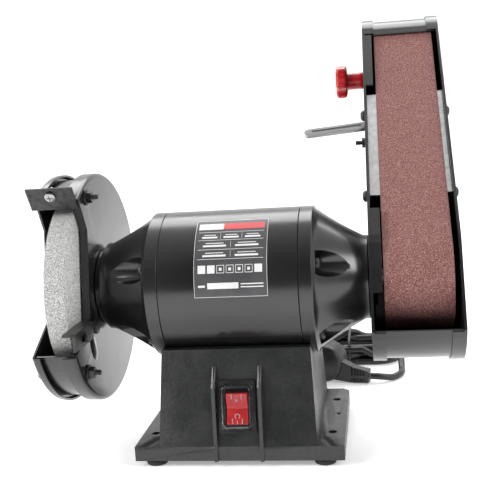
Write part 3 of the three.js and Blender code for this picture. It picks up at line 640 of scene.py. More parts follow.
def makeCord():
    route = [Vector(point) for point in leadRoute() + hankRoute() + tailRoute()]
    line = smoothLine(route)
    length = sum((b - a).length for a, b in zip(line, line[1:]))
    print("cord runs", round(length), "mm")
    piece = makeWire("mains_cord", line, onBench, cordFacts["diameter"] / 2, "sheath", 5)
    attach(piece, "machine")
    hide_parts("cord_lead", "cord_hank", "cord_tail")
    return piece


def pushedAcross(outline, start, end):
    # [x, z] points pushed along Y
    turn = Matrix(((0, 1, 0, 0), (1, 0, 0, 0), (0, 0, 1, 0), (0, 0, 0, 1)))
    return turnedAbout(pushedMesh(outline, start, end), turn)


def alongY(bm):
    return turnedAbout(bm, Matrix.Rotation(math.pi / 2, 4, "Z"))


def makePlug():
    plug = {"centre": (-42, 0, 17.9), "radius": 17.6, "face": 17, "back": -8.5, "pin": 2.4, "pinEnd": 35}
    x, _, z = plug["centre"]
    radius, back, face = plug["radius"], plug["back"], plug["face"]
    thick, long = plug["pin"], plug["pinEnd"]
    disc = alongY(turnedMesh([(back, 0), (back, radius - 3.2), (back + 0.6, radius - 1.9),
                              (back + 2, radius - 0.7),
                              (back + 4.5, radius), (face - 1, radius), (face, radius - 1),
                              (face, radius - 3.2),
                              (face - 2.2, radius - 3.6), (face - 2.2, 0)], 64, closed=False))
    movedTo(disc, x, 0, z)
    notches = []
    for side in (-1, 1):
        middle = z + side * (radius - 1)
        notches.append(pushedAcross(boxOutline(x - 2.6, x + 2.6, middle - 2, middle + 2), 2, 22))
    disc = carve(disc, *notches)
    grip = pushedAcross([(0, 1.1), (0, 12), (-14, 15.4), (-30, 23), (x, 23), (x, 4), (-14, 0.4)], -5.6, 5.6)
    grooves = []
    for number in range(5):
        left = -5.2 - 2.7 * number
        for low, high in ((-1, 5.2), (8.4, 18)):
            for side in (-1, 1):
                start, end = sorted((side * 4.4, side * 8))
                grooves.append(pushedAcross(boxOutline(left, left + 1.2, low, high), start, end))
    grip = carve(grip, *grooves)
    turn = Matrix.Translation((*cordFacts["plugEnd"],
                               0)) @ Matrix.Rotation(math.radians(cordFacts["plugTurn"]), 4, "Z")
    space = onBench @ turn
    body = addPiece("plug_body", disc, space, "moulded", "mains_plug", 0.5, 3, 40)
    handle = addPiece("plug_grip", grip, space, "moulded", "mains_plug", 0.9, 3, 30, shows=False)
    pins = []
    for side in (-1, 1):
        pin = alongY(turnedMesh([(face - 3, 0), (face - 3, thick), (long - 1.4, thick),
                                 (long - 0.4, thick - 0.4),
                                 (long, thick / 2), (long, 0)], 24, closed=False))
        pins.append(movedTo(pin, x + side * 9.5, 0, z))
    contacts = addPiece("plug_pins", joinMeshes(*pins), space, "steel", "mains_plug",
                        shows=False)
    return [body, handle, contacts]


def makeTie():
    # a wire tie round the middle of the hank
    tie = {"x": 74.1, "half": 28.6, "top": 26.0, "wire": 1.1}
    outline = []
    for step in range(40):
        angle = 2 * math.pi * step / 40
        across = abs(math.cos(angle)) ** 0.35 * math.copysign(1, math.cos(angle))
        tall = abs(math.sin(angle)) ** 0.5 * math.copysign(1, math.sin(angle))
        outline.append(Vector((tie["x"], cordFacts["hankY"] + tie["half"] * across,
                               13.2 + (tie["top"] - 13.2) * tall)))
    piece = makeWire("hank_tie", outline, onBench, tie["wire"], "moulded", 3, closed=True)
    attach(piece, "machine")
    return piece


def makeGland():
    # flange nut against the wall and a tapered, ribbed strain relief
    gland = {"x": 30, "z": 30, "ribs": 6}
    nut = alongY(turnedMesh([(55, 4.4), (55, 5.8), (62.8, 5.8), (62.8, 8.2), (63.4, 9), (65.0, 9),
                             (65.6, 8.4),
                             (65.6, 4.4)], 48))
    profile = [(65.2, 3.2), (65.2, 5.8)]
    for number in range(gland["ribs"]):
        start = 67 + 3.5 * number
        radius = 5.7 - 0.083 * (start - 65)
        profile += [(start, radius), (start + 2.1, radius - 0.15), (start + 2.3, radius - 1.0),
                    (start + 3.3, radius - 1.1)]
    profile += [(88.4, 3.8), (89, 3.4), (89, 3.12)]
    sleeve = alongY(turnedMesh(profile, 48))
    space = onBench @ Matrix.Translation((gland["x"], 0, gland["z"]))
    return addPiece("strain_relief", joinMeshes(nut, sleeve), space, "moulded", "cord_gland", 0.15)


flex = makeCord()
plugPieces = makePlug()
makeTie()
makeGland()
print("cord laid")


def makeBase():
    refined("base_pedestal", "hammered", 0.9, 3, split=True)
    for number in range(1, 5):
        low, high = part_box(f"rubber_foot_{number}")
        x, y = (low.x + high.x) / 2, (low.y + high.y) / 2
        bm = turnedMesh([(0, 0), (0, 6.9), (0.4, 7.7), (1.2, 8.1), (2.2, 8.2), (3.6, 8.0), (4.2, 7.5),
                         (4.3, 2.3),
                         (11, 2.3), (11, 0)], 48, closed=False)
        turnedAbout(bm, Matrix.Rotation(-math.pi / 2, 4, "Y"))
        addPiece(f"foot_pad_{number}", bm, Matrix.Translation((x, y, 0)) @ scaleMm, "rubber",
                 f"rubber_foot_{number}")


def switchSpace():
    # the leaning front panel, with Y into the machine
    panel = {"x": 1, "z": 43.6, "top": 84.3, "bottom": 15.5, "halfDepth": 63.7, "halfTop": 46.5}
    lean = math.atan2(panel["halfDepth"] - panel["halfTop"], panel["top"] - panel["bottom"])
    y = -panel["halfDepth"] + (panel["z"] - panel["bottom"]) * math.tan(lean)
    return onBench @ Matrix.Translation((panel["x"], y, panel["z"])) @ Matrix.Rotation(-lean, 4, "X")


def plate(x, z, y0, y1, corner=2.0, steps=5):
    # a rounded plate facing -Y, centred on the switch
    outline = []
    for centreX, centreZ, start in ((x - corner, z - corner, 0), (corner - x, z - corner, 90),
                                    (corner - x, corner - z, 180), (x - corner, corner - z, 270)):
        outline += arcPoints((centreX, centreZ), corner, start, start + 90, steps)
    return pushedAcross(outline, y0, y1)


def rockerMesh():
    # seen from the side: two dished halves that meet at a low ridge
    rocker = {"half": 7.8, "tilt": 9, "pivot": 5}
    upper = [(-4.6 + 3.0 * (step / 8) ** 1.6, 11.6 - 11.6 * step / 8) for step in range(9)]
    lower = [(y, -z) for y, z in reversed(upper[:-1])]
    outline = upper + lower + [(4, -10.4), (9.5, -3.5), (9.5, 3.5), (4, 10.4)]
    bm = pushedMesh(outline, -rocker["half"], rocker["half"])
    pivot = Matrix.Translation((0, rocker["pivot"], 0))
    turn = pivot @ Matrix.Rotation(math.radians(rocker["tilt"]), 4, "X") @ pivot.inverted()
    return turnedAbout(bm, turn), turn


def rockerMarks(turn):
    # the I and O of an on-off switch, with three moulded grip lines at each end
    marks = []

    def stripe(x, low, high, wide=0.28):
        lean = 3.0 / 11.6
        y = -1.75 - abs(low + high) / 2 * lean
        marks.append(pushedAcross(boxOutline(x - wide, x + wide, low, high), y - 0.55, y + 1.2))

    for x in (-3.6, 3.6):
        stripe(x, 7.2, 11.0)
        stripe(x, -11.0, -7.2)
    stripe(0, 5.0, 8.4, 0.45)
    stripe(0, -11.0, -8.4)
    ring = turnedMesh([(0, 1.45), (0, 2.0), (1.6, 2.0), (1.6, 1.45)], 32)
    turnedAbout(ring, Matrix.Translation((0, -3.9, -5.6)) @ Matrix.Rotation(math.pi / 2, 4, "Z"))
    marks.append(ring)
    return turnedAbout(joinMeshes(*marks), turn)


def makeSwitch():
    space = switchSpace()
    size = {"frameX": 13.8, "frameZ": 19.2, "wellX": 8.4, "wellZ": 13.1, "boxX": 10.6, "boxZ": 14.6}
    frameMesh = plate(size["frameX"], size["frameZ"], -2.5, -clearGap, 2.4)
    box = plate(size["boxX"], size["boxZ"], -2.4, 20, 1.2)
    well = plate(size["wellX"], size["wellZ"], -6, 14, 0.8)
    body = carve(joinMeshes(carve(frameMesh, plate(size["wellX"], size["wellZ"], -6, 14, 0.8)),
                            carve(box, well)))
    addPiece("switch_frame", body, space, "moulded", "switch_body", 0.5, 3, 30)
    rocker, turn = rockerMesh()
    addPiece("rocker_lens", rocker, space, "redPaintedGlow", "switch_rocker", 0.55, 3, 40)
    addPiece("rocker_marks", rockerMarks(turn), space, "printWhite", "switch_rocker", 0.08, 1, shows=False)
    shell = carve(plate(11, 15.2, -9.4, -2.8, 2.6), plate(10.2, 14.4, -8.6, 0, 2.0))
    addPiece("splash_cover", shell, space, "clear", "switch_splash_cover", 0.7, 3, 40)
    rim = carve(plate(12.4, 16.6, -3.3, -2.6, 2.8), plate(10.9, 15.1, -4, -2, 2.2))
    addPiece("splash_cover_rim", rim, space, "clear", "switch_splash_cover", 0.2, 2, 40, shows=False)


def makeShell():
    shell = {"radius": 56, "wall": 2.6, "left": -53, "right": 50}
    r, inner, left, right = shell["radius"], shell["radius"] - shell["wall"], shell["left"], shell["right"]
    bm = turnedMesh([(left, inner), (left, r - 0.35), (left + 0.35, r), (left + 20, r), (right - 20, r),
                     (right - 0.35, r), (right, r - 0.35), (right, inner)], 160)
    addPiece("motor_casing", bm, onShaft, "enamel", "motor_shell")


boltAngles = (156, 228, 24, -48)
boltCircle = 47.5


def boltPlace(radius, degrees):
    return radius * math.cos(math.radians(degrees)), radius * math.sin(math.radians(degrees))


def rodMesh(radius, start, end, place=(0, 0), sides=32, soft=0.0):
    points = [(start, 0), (start, radius - soft), (start + soft, radius), (end - soft, radius),
              (end, radius - soft),
              (end, 0)] if soft else [(start, 0), (start, radius), (end, radius), (end, 0)]
    return movedTo(turnedMesh(points, sides, closed=False), 0, *place)


def threadedRod(head, start, turns, radii, tail, place):
    # a rod with thread ridges half a millimetre apart between its plain ends
    thread = []
    for turn in range(turns):
        x = start + 0.5 * turn
        thread += [(x, radii[0]), (x + 0.25, radii[1])]
    return movedTo(turnedMesh(head + thread + tail, 24, closed=False), 0, *place)


def bellMesh(noseRadius, noseEnd, boss):
    # right-hand bell, drawn from its joint with the shell outwards
    outside = [(0, 9), (0, 55.7), (0.3, 56), (9.4, 56), (10.2, 55.4), (10.9, 53.9)]
    cone = [(11.1, 53.6), (noseEnd - 4, noseRadius)]
    for step in range(1, 12):
        share = step / 12
        bow = 0.9 * math.sin(math.pi * share)
        outside.append((cone[0][0] + (cone[1][0] - cone[0][0]) * share,
                        cone[0][1] + (cone[1][1] - cone[0][1]) * share - bow))
    outside += [(noseEnd - 4, noseRadius), (noseEnd - 0.8, noseRadius), (noseEnd, noseRadius - 0.8)]
    outside += boss
    bm = turnedMesh(outside, 128)
    pockets = []
    for angle in boltAngles:
        place = boltPlace(boltCircle, angle)
        pocket = rodMesh(9.8, 12, 70, place, 56)
        pockets.append(pocket)
    return carve(bm, *pockets)


def makeBells():
    right = bellMesh(32, 49.5, [(49.5, 22.0), (54.9, 22.0), (55.2, 21.7), (55.2, 9)])
    addPiece("bell_right", right, onShaft @ Matrix.Translation((50.3, 0, 0)), "enamel", "end_bell_right",
             0.45, 3, 34)
    left = bellMesh(34, 50.7, [(50.7, 30), (54.6, 30), (55, 29.5), (55, 9)])
    mirrored = turnedAbout(left, Matrix.Scale(-1, 4, (1, 0, 0)))
    addPiece("bell_left", mirrored, onShaft @ Matrix.Translation((-53.3, 0, 0)), "enamel", "end_bell_left",
             0.45, 3, 34)


def hexMesh(radius, start, end, place, spin=0.0):
    # a plain hexagon head or nut
    outline = arcPoints((0, 0), radius, spin, spin + 300, 5)
    bm = pushedMesh(outline, start, end)
    return movedTo(bm, 0, *place)


def crossRecess(reach, start, end):
    return [pushedMesh(boxOutline(-wide, wide, -tall, tall), start, end)
            for wide, tall in ((0.5, reach), (reach, 0.5))]


def slotHead(radius, seat, out, place):
    # a pan head with a cross recess; out is +1 or -1 along the shaft
    dome = [(0, 0), (0, radius), (1.6, radius), (2.6, radius * 0.86), (3.3, radius * 0.55), (3.5, 0)]
    bm = turnedMesh(dome, 32, closed=False)
    bm = carve(bm, *crossRecess(2.2, 1.8, 6))
    if out < 0:
        turnedAbout(bm, Matrix.Rotation(math.pi, 4, "Z"))
    return movedTo(bm, seat, *place)


def makeThroughBolts():
    for number, angle in enumerate(boltAngles, 1):
        place = boltPlace(boltCircle, angle)
        left, right = -65.6, 62.6
        parts = [rodMesh(2.2, left, right, place, 20), slotHead(4.4, right, 1, place),
                 slotHead(4.4, left, -1, place)]
        addPiece(f"through_bolt_{number}_headed", joinMeshes(*parts), onShaft, "blackened",
                 f"through_bolt_{number}")


filmLift = 0.34
printLift = 0.40


def labelPatch(patches, x0, x1, high, low, lift):
    # a thin curved patch on the shell between two angles above the front, in degrees
    steps = max(2, int(abs(high - low) / 3))
    radius = 56.3 + lift
    outline = []
    for step in range(steps + 1):
        angle = math.radians(180 - high + (high - low) * step / steps)
        outline.append((radius * math.cos(angle), radius * math.sin(angle)))
    for step in range(steps, -1, -1):
        angle = math.radians(180 - high + (high - low) * step / steps)
        outline.append(((radius - 0.12) * math.cos(angle), (radius - 0.12) * math.sin(angle)))
    patches.append(pushedMesh(outline, x0, x1))


def makeLabel():
    # a generic rating plate: border, header bar, rows of blank fields and squares, no lettering
    plateSize = {"left": -25, "right": 28.5, "top": 64.5, "bottom": 0}
    left, right, top, bottom = plateSize.values()
    film, white, red = [], [], []
    labelPatch(film, left, right, top, bottom, filmLift)
    # the border is four thin strips
    for x0, x1, high, low in ((left, right, top, top - 0.3), (left, right, bottom + 0.3, bottom),
                              (left, left + 0.28, top, bottom), (right - 0.28, right, top, bottom)):
        labelPatch(white, x0, x1, high, low, printLift)
    labelPatch(white, left + 2.2, left + 20.5, top - 4, top - 10.4, printLift)
    labelPatch(red, left + 20.5, right - 2.4, top - 4, top - 10.4, printLift)
    rows = [(49.5, 3), (42.0, 2), (34.0, 2)]
    for high, columns in rows:
        labelPatch(white, left + 2.6, right - 2.8, high + 2.0, high + 1.7, printLift)
        width = (right - left - 6) / columns
        for column in range(columns):
            x = left + 3 + width * column
            labelPatch(white, x + width * 0.22, x + width * 0.78, high - 0.6, high - 1.2, printLift)
            labelPatch(white, x + width * 0.14, x + width * 0.86, high - 2.4, high - 3.9, printLift)
            if column:
                labelPatch(white, x - 0.1, x + 0.1, high + 0.6, high - 4.4, printLift)
    labelPatch(white, left + 2.6, right - 2.8, 28.4, 28.1, printLift)
    for number in range(7):
        x = left + 3 + 6.9 * number
        if number in (0, 1, 6):
            labelPatch(white, x, x + 5.6, 23.6, 17.6, printLift)
        else:
            for x0, x1, high, low in ((x, x + 5.6, 23.6, 23.2), (x, x + 5.6, 18.0, 17.6),
                                      (x, x + 0.35, 23.6, 17.6),
                                      (x + 5.25, x + 5.6, 23.6, 17.6), (x + 1.8, x + 3.8, 21.6, 19.4)):
                labelPatch(white, x0, x1, high, low, printLift)
    labelPatch(white, left + 9.8, left + 32.5, 10.6, 6.2, printLift)
    labelPatch(white, left + 3, left + 8.0, 9.0, 7.4, printLift)
    for high in (9.8, 7.6):
        labelPatch(white, left + 34.2, right - 2.8, high, high - 0.8, printLift)
    for name, patches, finish in (("label_film", film, "print"), ("label_marks", white, "printWhite"),
                                  ("label_header", red, "printRed")):
        addPiece(name, joinMeshes(*patches), onShaft, finish, "rating_label", shows=name == "label_film")


makeBase()
makeSwitch()
print("base and switch ready")
makeShell()
makeBells()
makeThroughBolts()
makeLabel()
print("motor ready")


guardSize = {"radius": 89.7, "left": -143, "right": -108.6, "sheet": 1.5, "rimLeft": 6.5, "rimRight": 11,
             "band": 85.4, "start": 122, "end": 204, "bolts": (112, 221, 346), "boltCircle": 80.4}


def guardMouth():
    # the gap at the front where the wheel shows
    near, deep, low = boltPlace(100, guardSize["start"]), boltPlace(78, guardSize["start"]), \
        boltPlace(92, guardSize["end"])
    return pushedMesh([near, deep, (-33, 50), (-46, -17), low, (-130, -40), (-130, 90)], -160, -90)


def guardLip():
    # the edge of the inner disc is turned in beside the wheel
    top, low = boltPlace(80, guardSize["start"]), boltPlace(80, guardSize["end"])
    front = [top, (-33.6, 52.5), (-33, 50), (-33.2, 47.8), (-45.6, -14.5), (-46, -17), (-48, -18.6), low]
    back = [(low[0] + 0.6, low[1] - 1.3), (-47.2, -20.0), (-44.7, -18.0), (-44.2, -14.8), (-31.8, 47.6),
            (-31.6, 50), (-32.3, 53.0), (top[0] + 1.3, top[1] + 0.7)]
    return pushedMesh(front + back, guardSize["right"] - 5.8, guardSize["right"] - 0.4)


def dishMesh(flat, rim, out, inner):
    # a dished sheet-metal disc; out is +1 when its flat face looks to +X
    radius, sheet = guardSize["radius"], guardSize["sheet"]
    soft = 3.2
    outer, under = [], []
    for step in range(7):
        angle = math.radians(90 * step / 6)
        outer.append((flat - out * soft * (1 - math.cos(angle)), radius - soft + soft * math.sin(angle)))
        reach = soft - sheet
        under.append((flat - out * (sheet + reach * (1 - math.cos(angle))),
                      radius - soft + reach * math.sin(angle)))
    edge = flat - out * rim
    points = [(flat, inner)] + outer + [(edge, radius), (edge, radius - sheet)] + list(reversed(under))
    points.append((flat - out * sheet, inner))
    return turnedMesh(points, 192, closed=inner > 0)


def boltHoles():
    return [rodMesh(2.4, -160, -90, boltPlace(guardSize["boltCircle"], angle),
                    24) for angle in guardSize["bolts"]]


def makeGuard():
    size = guardSize
    inner = dishMesh(size["right"], size["rimRight"], 1, 26)
    rivetHole = rodMesh(2.4, -115, -100, (-40, 101 - 125.6), 24)
    inner = joinMeshes(carve(inner, guardMouth(), *boltHoles(), rivetHole), guardLip())
    addPiece("guard_disc_inner", inner, onShaft, "enamel", "guard_inner_plate", 0.3, 2, 34)
    outer = carve(dishMesh(size["left"], size["rimLeft"], -1, 0), guardMouth(), *boltHoles())
    addPiece("guard_disc_outer", outer, onShaft, "enamel", "guard_outer_cover", 0.3, 2, 34)
    start, end = size["end"] - 360 + 0.6, size["start"] - 0.5
    band = pushedMesh(arcPoints((0, 0), size["band"], start, end, 110)
                      + arcPoints((0, 0), size["band"] - size["sheet"], end, start, 110),
                      size["left"] + size["sheet"] + clearGap, size["right"] - size["sheet"] - clearGap)
    tab = pushedMesh([(-1.5, size["band"] - 1.3), (0, size["band"] - 1.3), (0, size["band"] + 13),
                      (-1.5, size["band"] + 13)], -135, -121)
    turnedAbout(tab, Matrix.Rotation(math.radians(size["start"] - 90), 4, "X"))
    addPiece("guard_band_sheet", joinMeshes(band, tab), onShaft, "enamel", "guard_band", 0.25, 2, 34)
    for number, angle in enumerate(size["bolts"], 1):
        place = boltPlace(size["boltCircle"], angle)
        right, left = size["right"], size["left"]
        washer = turnedMesh([(right + 0.3, 2.2), (right + 0.3, 6), (right + 1.3, 6), (right + 1.5, 5.8),
                             (right + 1.5, 2.2)], 40)
        movedTo(washer, 0, *place)
        threaded = threadedRod([(left - 3, 0), (left - 3, 2)], right + 5.6, 9, (2.05, 1.75),
                               [(right + 10, 1.5), (right + 10, 0)], place)
        nut = hexMesh(4.6, right + 1.5, right + 5.4, place, 14 * number)
        head = hexMesh(4.2, left - 3.4, left - clearGap, place, 9 * number)
        addPiece(f"guard_bolt_{number}_set", joinMeshes(washer, threaded, nut, head), onShaft, "blackened",
                 f"guard_bolt_{number}", 0.3, 2, 30)


def makeEmboss():
    # the shallow pressed pocket behind the tool rest
    emboss = {"y": -43, "z": -38, "long": 25, "wide": 7.0, "lean": 24, "rise": 1.5}
    bm = bmesh.new()
    rows, around = 6, 40
    rings = []
    for row in range(rows + 1):
        share = row / rows
        ring = []
        for step in range(around):
            angle = 2 * math.pi * step / around
            wide = emboss["wide"] * (1 - share) * math.cos(angle)
            long = emboss["long"] / 2 * (1 - share * 0.8) * math.sin(angle)
            lift = emboss["rise"] * math.sin(share * math.pi / 2)
            ring.append(bm.verts.new((lift, wide, long)))
        rings.append(ring)
    joinRings(bm, rings)
    bm.faces.new(rings[-1])
    turnedAbout(bm, Matrix.Translation((guardSize["right"] - 0.05, emboss["y"], emboss["z"]))
                @ Matrix.Rotation(math.radians(emboss["lean"]), 4, "X"))
    addPiece("guard_emboss", bm, onShaft, "enamel", "guard_inner_plate", shows=False)


def makeWheel():
    wheel = {"radius": 75, "left": -132, "right": -116, "bore": 6.7}
    r, left, right, bore = wheel["radius"], wheel["left"], wheel["right"], wheel["bore"]
    bm = turnedMesh([(left, bore), (left, r - 0.9), (left + 0.3, r - 0.3), (left + 0.9, r),
                     (right - 0.9, r),
                     (right - 0.3, r - 0.3), (right, r - 0.9), (right, bore)], 192)
    addPiece("wheel_abrasive", bm, onShaft, "stone", "grinding_wheel")
    inner = turnedMesh([(-115.7, 22.5), (-115.7, 24.4), (-115.2, 25), (-113.4, 25), (-112.6, 24.2),
                        (-112, 20), (-112, bore), (-115.3, bore), (-115.3, 22)], 96)
    addPiece("flange_inner_turned", inner, onShaft, "steel", "wheel_flange_inner")
    outer = turnedMesh([(-132.3, 22.5), (-132.3, 24.4), (-132.8, 25), (-134.4, 25), (-135.0, 24.2),
                        (-135.2, 20),
                        (-135.2, bore), (-132.7, bore), (-132.7, 22)], 96)
    addPiece("flange_outer_turned", outer, onShaft, "steel", "wheel_flange_outer")
    nut = carve(hexMesh(10.5, -140, -135.5, (0, 0)), rodMesh(6.6, -150, -130))
    addPiece("spindle_nut", nut, onShaft, "zinc", "wheel_nut", 0.5, 3, 30)
    shaft = turnedMesh([(-140.4, 0), (-140.4, 5.7), (-139.8, 6.3), (-111.7, 6.3), (-111.7, 7.5), (-80, 7.5),
                        (-80, 8.5), (78, 8.5), (78, 7.5), (108.6, 7.5), (108.6, 6.35), (161.8, 6.35),
                        (162.4, 5.8),
                        (162.4, 0)], 64, closed=False)
    addPiece("shaft_turned", shaft, onShaft, "steel", "rotor_shaft")


def makeGuardFittings():
    refined("spark_deflector", "blackened", 0.25)
    size = {"screwX": -128, "screw": 93.5, "head": 2.2}
    dome = turnedMesh([(0, 0), (0, 4), (1.2, 4), (2.0, 3.1), (2.2, 2.2), (2.2, 0)], 40, closed=False)
    dome = carve(dome, *crossRecess(2.4, 1.1, 5))
    shank = rodMesh(1.9, -7.5, 0.5)
    nut = hexMesh(3.6, -7.2, -4.0, (0, 0))
    screw = joinMeshes(dome, shank, nut)
    turnedAbout(screw, Matrix.Translation((size["screwX"], size["screw"], size["head"]))
                @ Matrix.Rotation(-math.pi / 2, 4, "Y"))
    turnedAbout(screw, Matrix.Rotation(math.radians(guardSize["start"]), 4, "X"))
    addPiece("deflector_screw", screw, onShaft, "zinc", "spark_deflector_screw")
    refined("tool_rest", "blackened", 0.3)
    refined("tool_rest_strap", "enamel", 0.3)
    refined("tool_rest_screw", "blackened", 0.25)


makeGuard()
makeEmboss()
makeWheel()
makeGuardFittings()
print("wheel side ready")


armSize = {"left": 100.3, "right": 166.3, "centres": 238.2}
beltSize = {"left": 110.3, "right": 160.3, "drive": 38.5, "idler": 25}


def makeBelt():
    # two layers: grit outside, cloth inside; the edges are a little worn
    low, top = beltSize["drive"] + clearGap, beltSize["idler"] + clearGap
    offset, centres = beltSize["drive"] - beltSize["idler"], armSize["centres"]
    lean = math.degrees(math.asin(offset / math.hypot(centres, offset)) + math.atan2(offset, centres))

    def ring(lift, steps=40):
        return (arcPoints((0, 0), low + lift, -180, lean, steps)
                + arcPoints((-offset, centres), top + lift, lean, 180, steps))

    def subdivided(points, spacing=4.0):
        result = []
        for here, after in zip(points, points[1:] + points[:1]):
            gap = math.dist(here, after)
            count = max(1, round(gap / spacing))
            for step in range(count):
                share = step / count
                result.append((here[0] + (after[0] - here[0]) * share,
                               here[1] + (after[1] - here[1]) * share))
        return result

    def loopStrip(inner, outer, x0, x1):
        bm = bmesh.new()
        rows = []
        for (y0, z0), (y1, z1) in zip(inner, outer):
            rows.append([bm.verts.new(p) for p in ((x0, y0, z0), (x1, y0, z0), (x1, y1, z1), (x0, y1, z1))])
        for here, after in zip(rows, rows[1:] + rows[:1]):
            for side in range(4):
                other = (side + 1) % 4
                bm.faces.new((here[side], after[side], after[other], here[other]))
        return bm

    inner, middle, outer = ring(0), ring(0.55), ring(1.1)
    cloth = loopStrip(inner, middle, beltSize["left"], beltSize["right"])
    grit = loopStrip(middle, outer, beltSize["left"] + 0.25, beltSize["right"] - 0.25)
    addPiece("belt_cloth", cloth, onArm, "backing", "sanding_belt")
    addPiece("belt_grit", grit, onArm, "grit", "sanding_belt", shows=False)


def makeDrums():
    low = {"left": 110.8, "right": 159.8}
    radius = beltSize["drive"]
    profile = [(low["left"], 6.7), (low["left"], radius - 0.6), (low["left"] + 0.6, radius)]
    for number in range(11):
        x = low["left"] + 4 + 4.1 * number
        profile += [(x, radius), (x + 0.15, radius - 0.7), (x + 0.85, radius - 0.7), (x + 1, radius)]
    profile += [(low["right"] - 0.6, radius), (low["right"], radius - 0.6), (low["right"], 6.7)]
    addPiece("drive_drum_ribbed", turnedMesh(profile, 128), onArm, "rubber", "drive_drum")
    idler = []
    for step in range(17):
        share = step / 16
        x = low["left"] + (low["right"] - low["left"]) * share
        idler.append((x, 24.1 + 0.7 * math.sin(math.pi * share)))
    bm = turnedMesh([(low["left"], 5.3)] + idler + [(low["right"], 5.3)], 96)
    movedTo(bm, 0, beltSize["idler"] - beltSize["drive"], armSize["centres"])
    addPiece("idler_drum_crowned", bm, onArm, "blackened", "idler_drum")


def makeArmShells():
    refined("arm_left_housing", "enamel", 0.45, 3, 28)
    refined("arm_right_cover", "enamel", 0.45, 3, 28)
    refined("arm_wrap_cover", "enamel", 0.3, 2, 28)
    refined("platen", "platen", 0.35, 2)
    for side in ("left", "right"):
        for number in (1, 2):
            node = f"platen_bolt_{side}_{number}"
            place = (-26, (147, 58)[number - 1])
            out = -1 if side == "left" else 1
            face = armSize["left"] - clearGap if side == "left" else armSize["right"] + clearGap
            inner = armSize["left"] + 7 if side == "left" else armSize["right"] - 7
            start, end = sorted((inner, face))
            dome = turnedMesh([(0, 0), (0, 4.5), (0.7, 4.6), (1.6, 4.3), (2.6, 3.4), (3.2, 2.3),
                               (3.2, 1.5), (2.2, 1.3),
                               (2.2, 0)], 40, closed=False)
            if out < 0:
                turnedAbout(dome, Matrix.Rotation(math.pi, 4, "Z"))
            movedTo(dome, face, *place)
            addPiece(node + "_set", joinMeshes(rodMesh(2, start, end, place, 20), dome), onArm, "blackened",
                     node)


def makeTracking():
    refined("idler_yoke", "blackened", 0.3)
    refined("idler_carriage", "blackened", 0.4)
    knob = {"y": -6, "z": 213, "head": 75, "neck": 85.5, "lobes": 6, "middle": 13.6,
            "swell": 1.4}
    bm = bmesh.new()
    sides = 96
    profile = [(knob["head"], 0.55), (knob["head"] + 0.3, 0.82), (knob["head"] + 1.2, 0.95),
               (knob["head"] + 2.6, 1.0), (knob["neck"] - 2.6, 1.0), (knob["neck"] - 1.2, 0.95),
               (knob["neck"] - 0.4, 0.84), (knob["neck"], 0.66)]
    rings = [[bm.verts.new((knob["head"] + 0.5, 0, 0))] * sides]

    def lobed(angle):
        return knob["middle"] + knob["swell"] * math.cos(knob["lobes"] * angle)

    for x, share in profile:
        rings.append(ringAt(bm, x, sides, lambda angle: share * lobed(angle)))
    neck = [(knob["neck"], 7.9), (knob["neck"] + 1.0, 7.6), (96, 7.4), (99.2, 7.4), (99.6, 7.0)]
    for x, radius in neck:
        rings.append(ringAt(bm, x, sides, lambda angle: radius))
    rings.append([bm.verts.new((99.6, 0, 0))] * sides)
    joinRings(bm, rings)
    movedTo(bm, 0, knob["y"], knob["z"])
    addPiece("tracking_knob_lobed", bm, onArm, "redKnob", "tracking_knob", sharp=50)
    tip = rodMesh(2.9, 99.3, 107, (knob["y"], knob["z"]), 24, 0.5)
    addPiece("tracking_knob_tip", tip, onArm, "zinc", "tracking_knob", shows=False)
    place = (-6, 135.4)
    threaded = threadedRod([(91.7, 0), (91.7, 1.6), (92.0, 1.9)], 92.2, 8, (1.9, 1.6),
                           [(105.5, 1.9), (105.5, 0)], place)
    nut = hexMesh(4.2, armSize["left"] - 3.3, armSize["left"] - clearGap, place, 11)
    addPiece("housing_stud_set", joinMeshes(threaded, nut), onArm, "blackened", "housing_stud", 0.3, 2, 30)


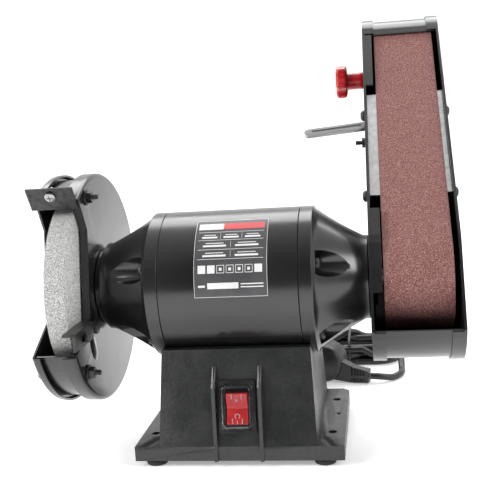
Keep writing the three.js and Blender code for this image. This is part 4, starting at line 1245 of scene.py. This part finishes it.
def makeSpring():
    spring = {"x": 135, "y": -6, "low": 161.2, "high": 180.9, "radius": 9.75, "wire": 0.8,
              "turns": 6, "pressed": 0.48}
    # the first and last turns are closed; the coil is made a mesh of its own
    points = []
    count = spring["turns"] * 24
    for step in range(count + 1):
        share = step / count
        angle = 2 * math.pi * spring["turns"] * share
        rise = min(max((share - 0.1) / 0.8, 0), 1)
        height = spring["low"] + (spring["high"] - spring["low"]) * (0.05 * share + 0.95 * rise)
        points.append(Vector((spring["x"] + spring["radius"] * math.cos(angle),
                              spring["y"] + spring["radius"] * math.sin(angle), height)))
    curved = makeWire("tension_spring_curve", points, onArm, spring["wire"], "zinc", 4)
    bpy.context.view_layer.update()
    mesh = bpy.data.meshes.new_from_object(curved)
    bpy.data.objects.remove(curved)
    for polygon in mesh.polygons:
        polygon.use_smooth = True
    coil = bpy.data.objects.new("tension_spring_coil", mesh)
    bpy.context.scene.collection.objects.link(coil)
    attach(coil, "arm")
    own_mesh(coil)
    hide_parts("tension_spring")


def makeLever():
    # a flat bar with round ends and a pressed groove along its front face
    lever = {"z": 145.5, "inner": 131, "tip": 52.1, "drop": 5, "half": 3.5, "front": -17.3, "back": -13.3,
             "pivot": 109.5}
    z, half = lever["z"], lever["half"]
    # outline in [x, z], pushed along Y; the handle end slopes down a little
    outline = (arcPoints((lever["inner"], z), half, -90, 90, 12) + [(99.5, z + half)]
               + arcPoints((lever["tip"], z - lever["drop"]), half, 90, 270, 12) + [(99.5, z - half)])
    bar = pushedAcross(outline, lever["front"], lever["back"])
    low = z - lever["drop"] + 0.4
    groove = pushedAcross([(55, low - 1.2), (97, z - 1.5), (97, z + 1.0), (55, low + 1.2)], -20,
                          lever["front"] + 0.9)
    hole = movedTo(alongY(rodMesh(2.2, -30, 0)), lever["pivot"], 0, z)
    bar = carve(bar, groove, hole)
    addPiece("tension_lever_bar", bar, onArm, "steel", "tension_lever", 0.5, 3, 32)


makeBelt()
makeDrums()
makeArmShells()
makeTracking()
makeSpring()
makeLever()
print("sanding arm ready")


def makeInside():
    refined("stator_core", "lamination", 0.2)
    refined("stator_winding", "copper", 0.5)
    refined("rotor_core", "lamination", 0.2)
    refined("run_capacitor", "moulded", 0.8, 3)
    for name, start, end in (("bearing_left", -99.2, -88.5), ("bearing_right", 84.4, 95.1)):
        bm = turnedMesh([(start, 7.8), (start, 10.4), (start + 0.8, 10.6), (start + 0.8, 14.6),
                         (start, 14.8),
                         (start, 17), (start + 0.5, 17.5), (end - 0.5, 17.5), (end, 17), (end, 14.8),
                         (end - 0.8, 14.6), (end - 0.8, 10.6), (end, 10.4), (end, 7.8)], 64)
        addPiece(name + "_races", bm, onShaft, "steel", name)


makeInside()
print("inside ready")
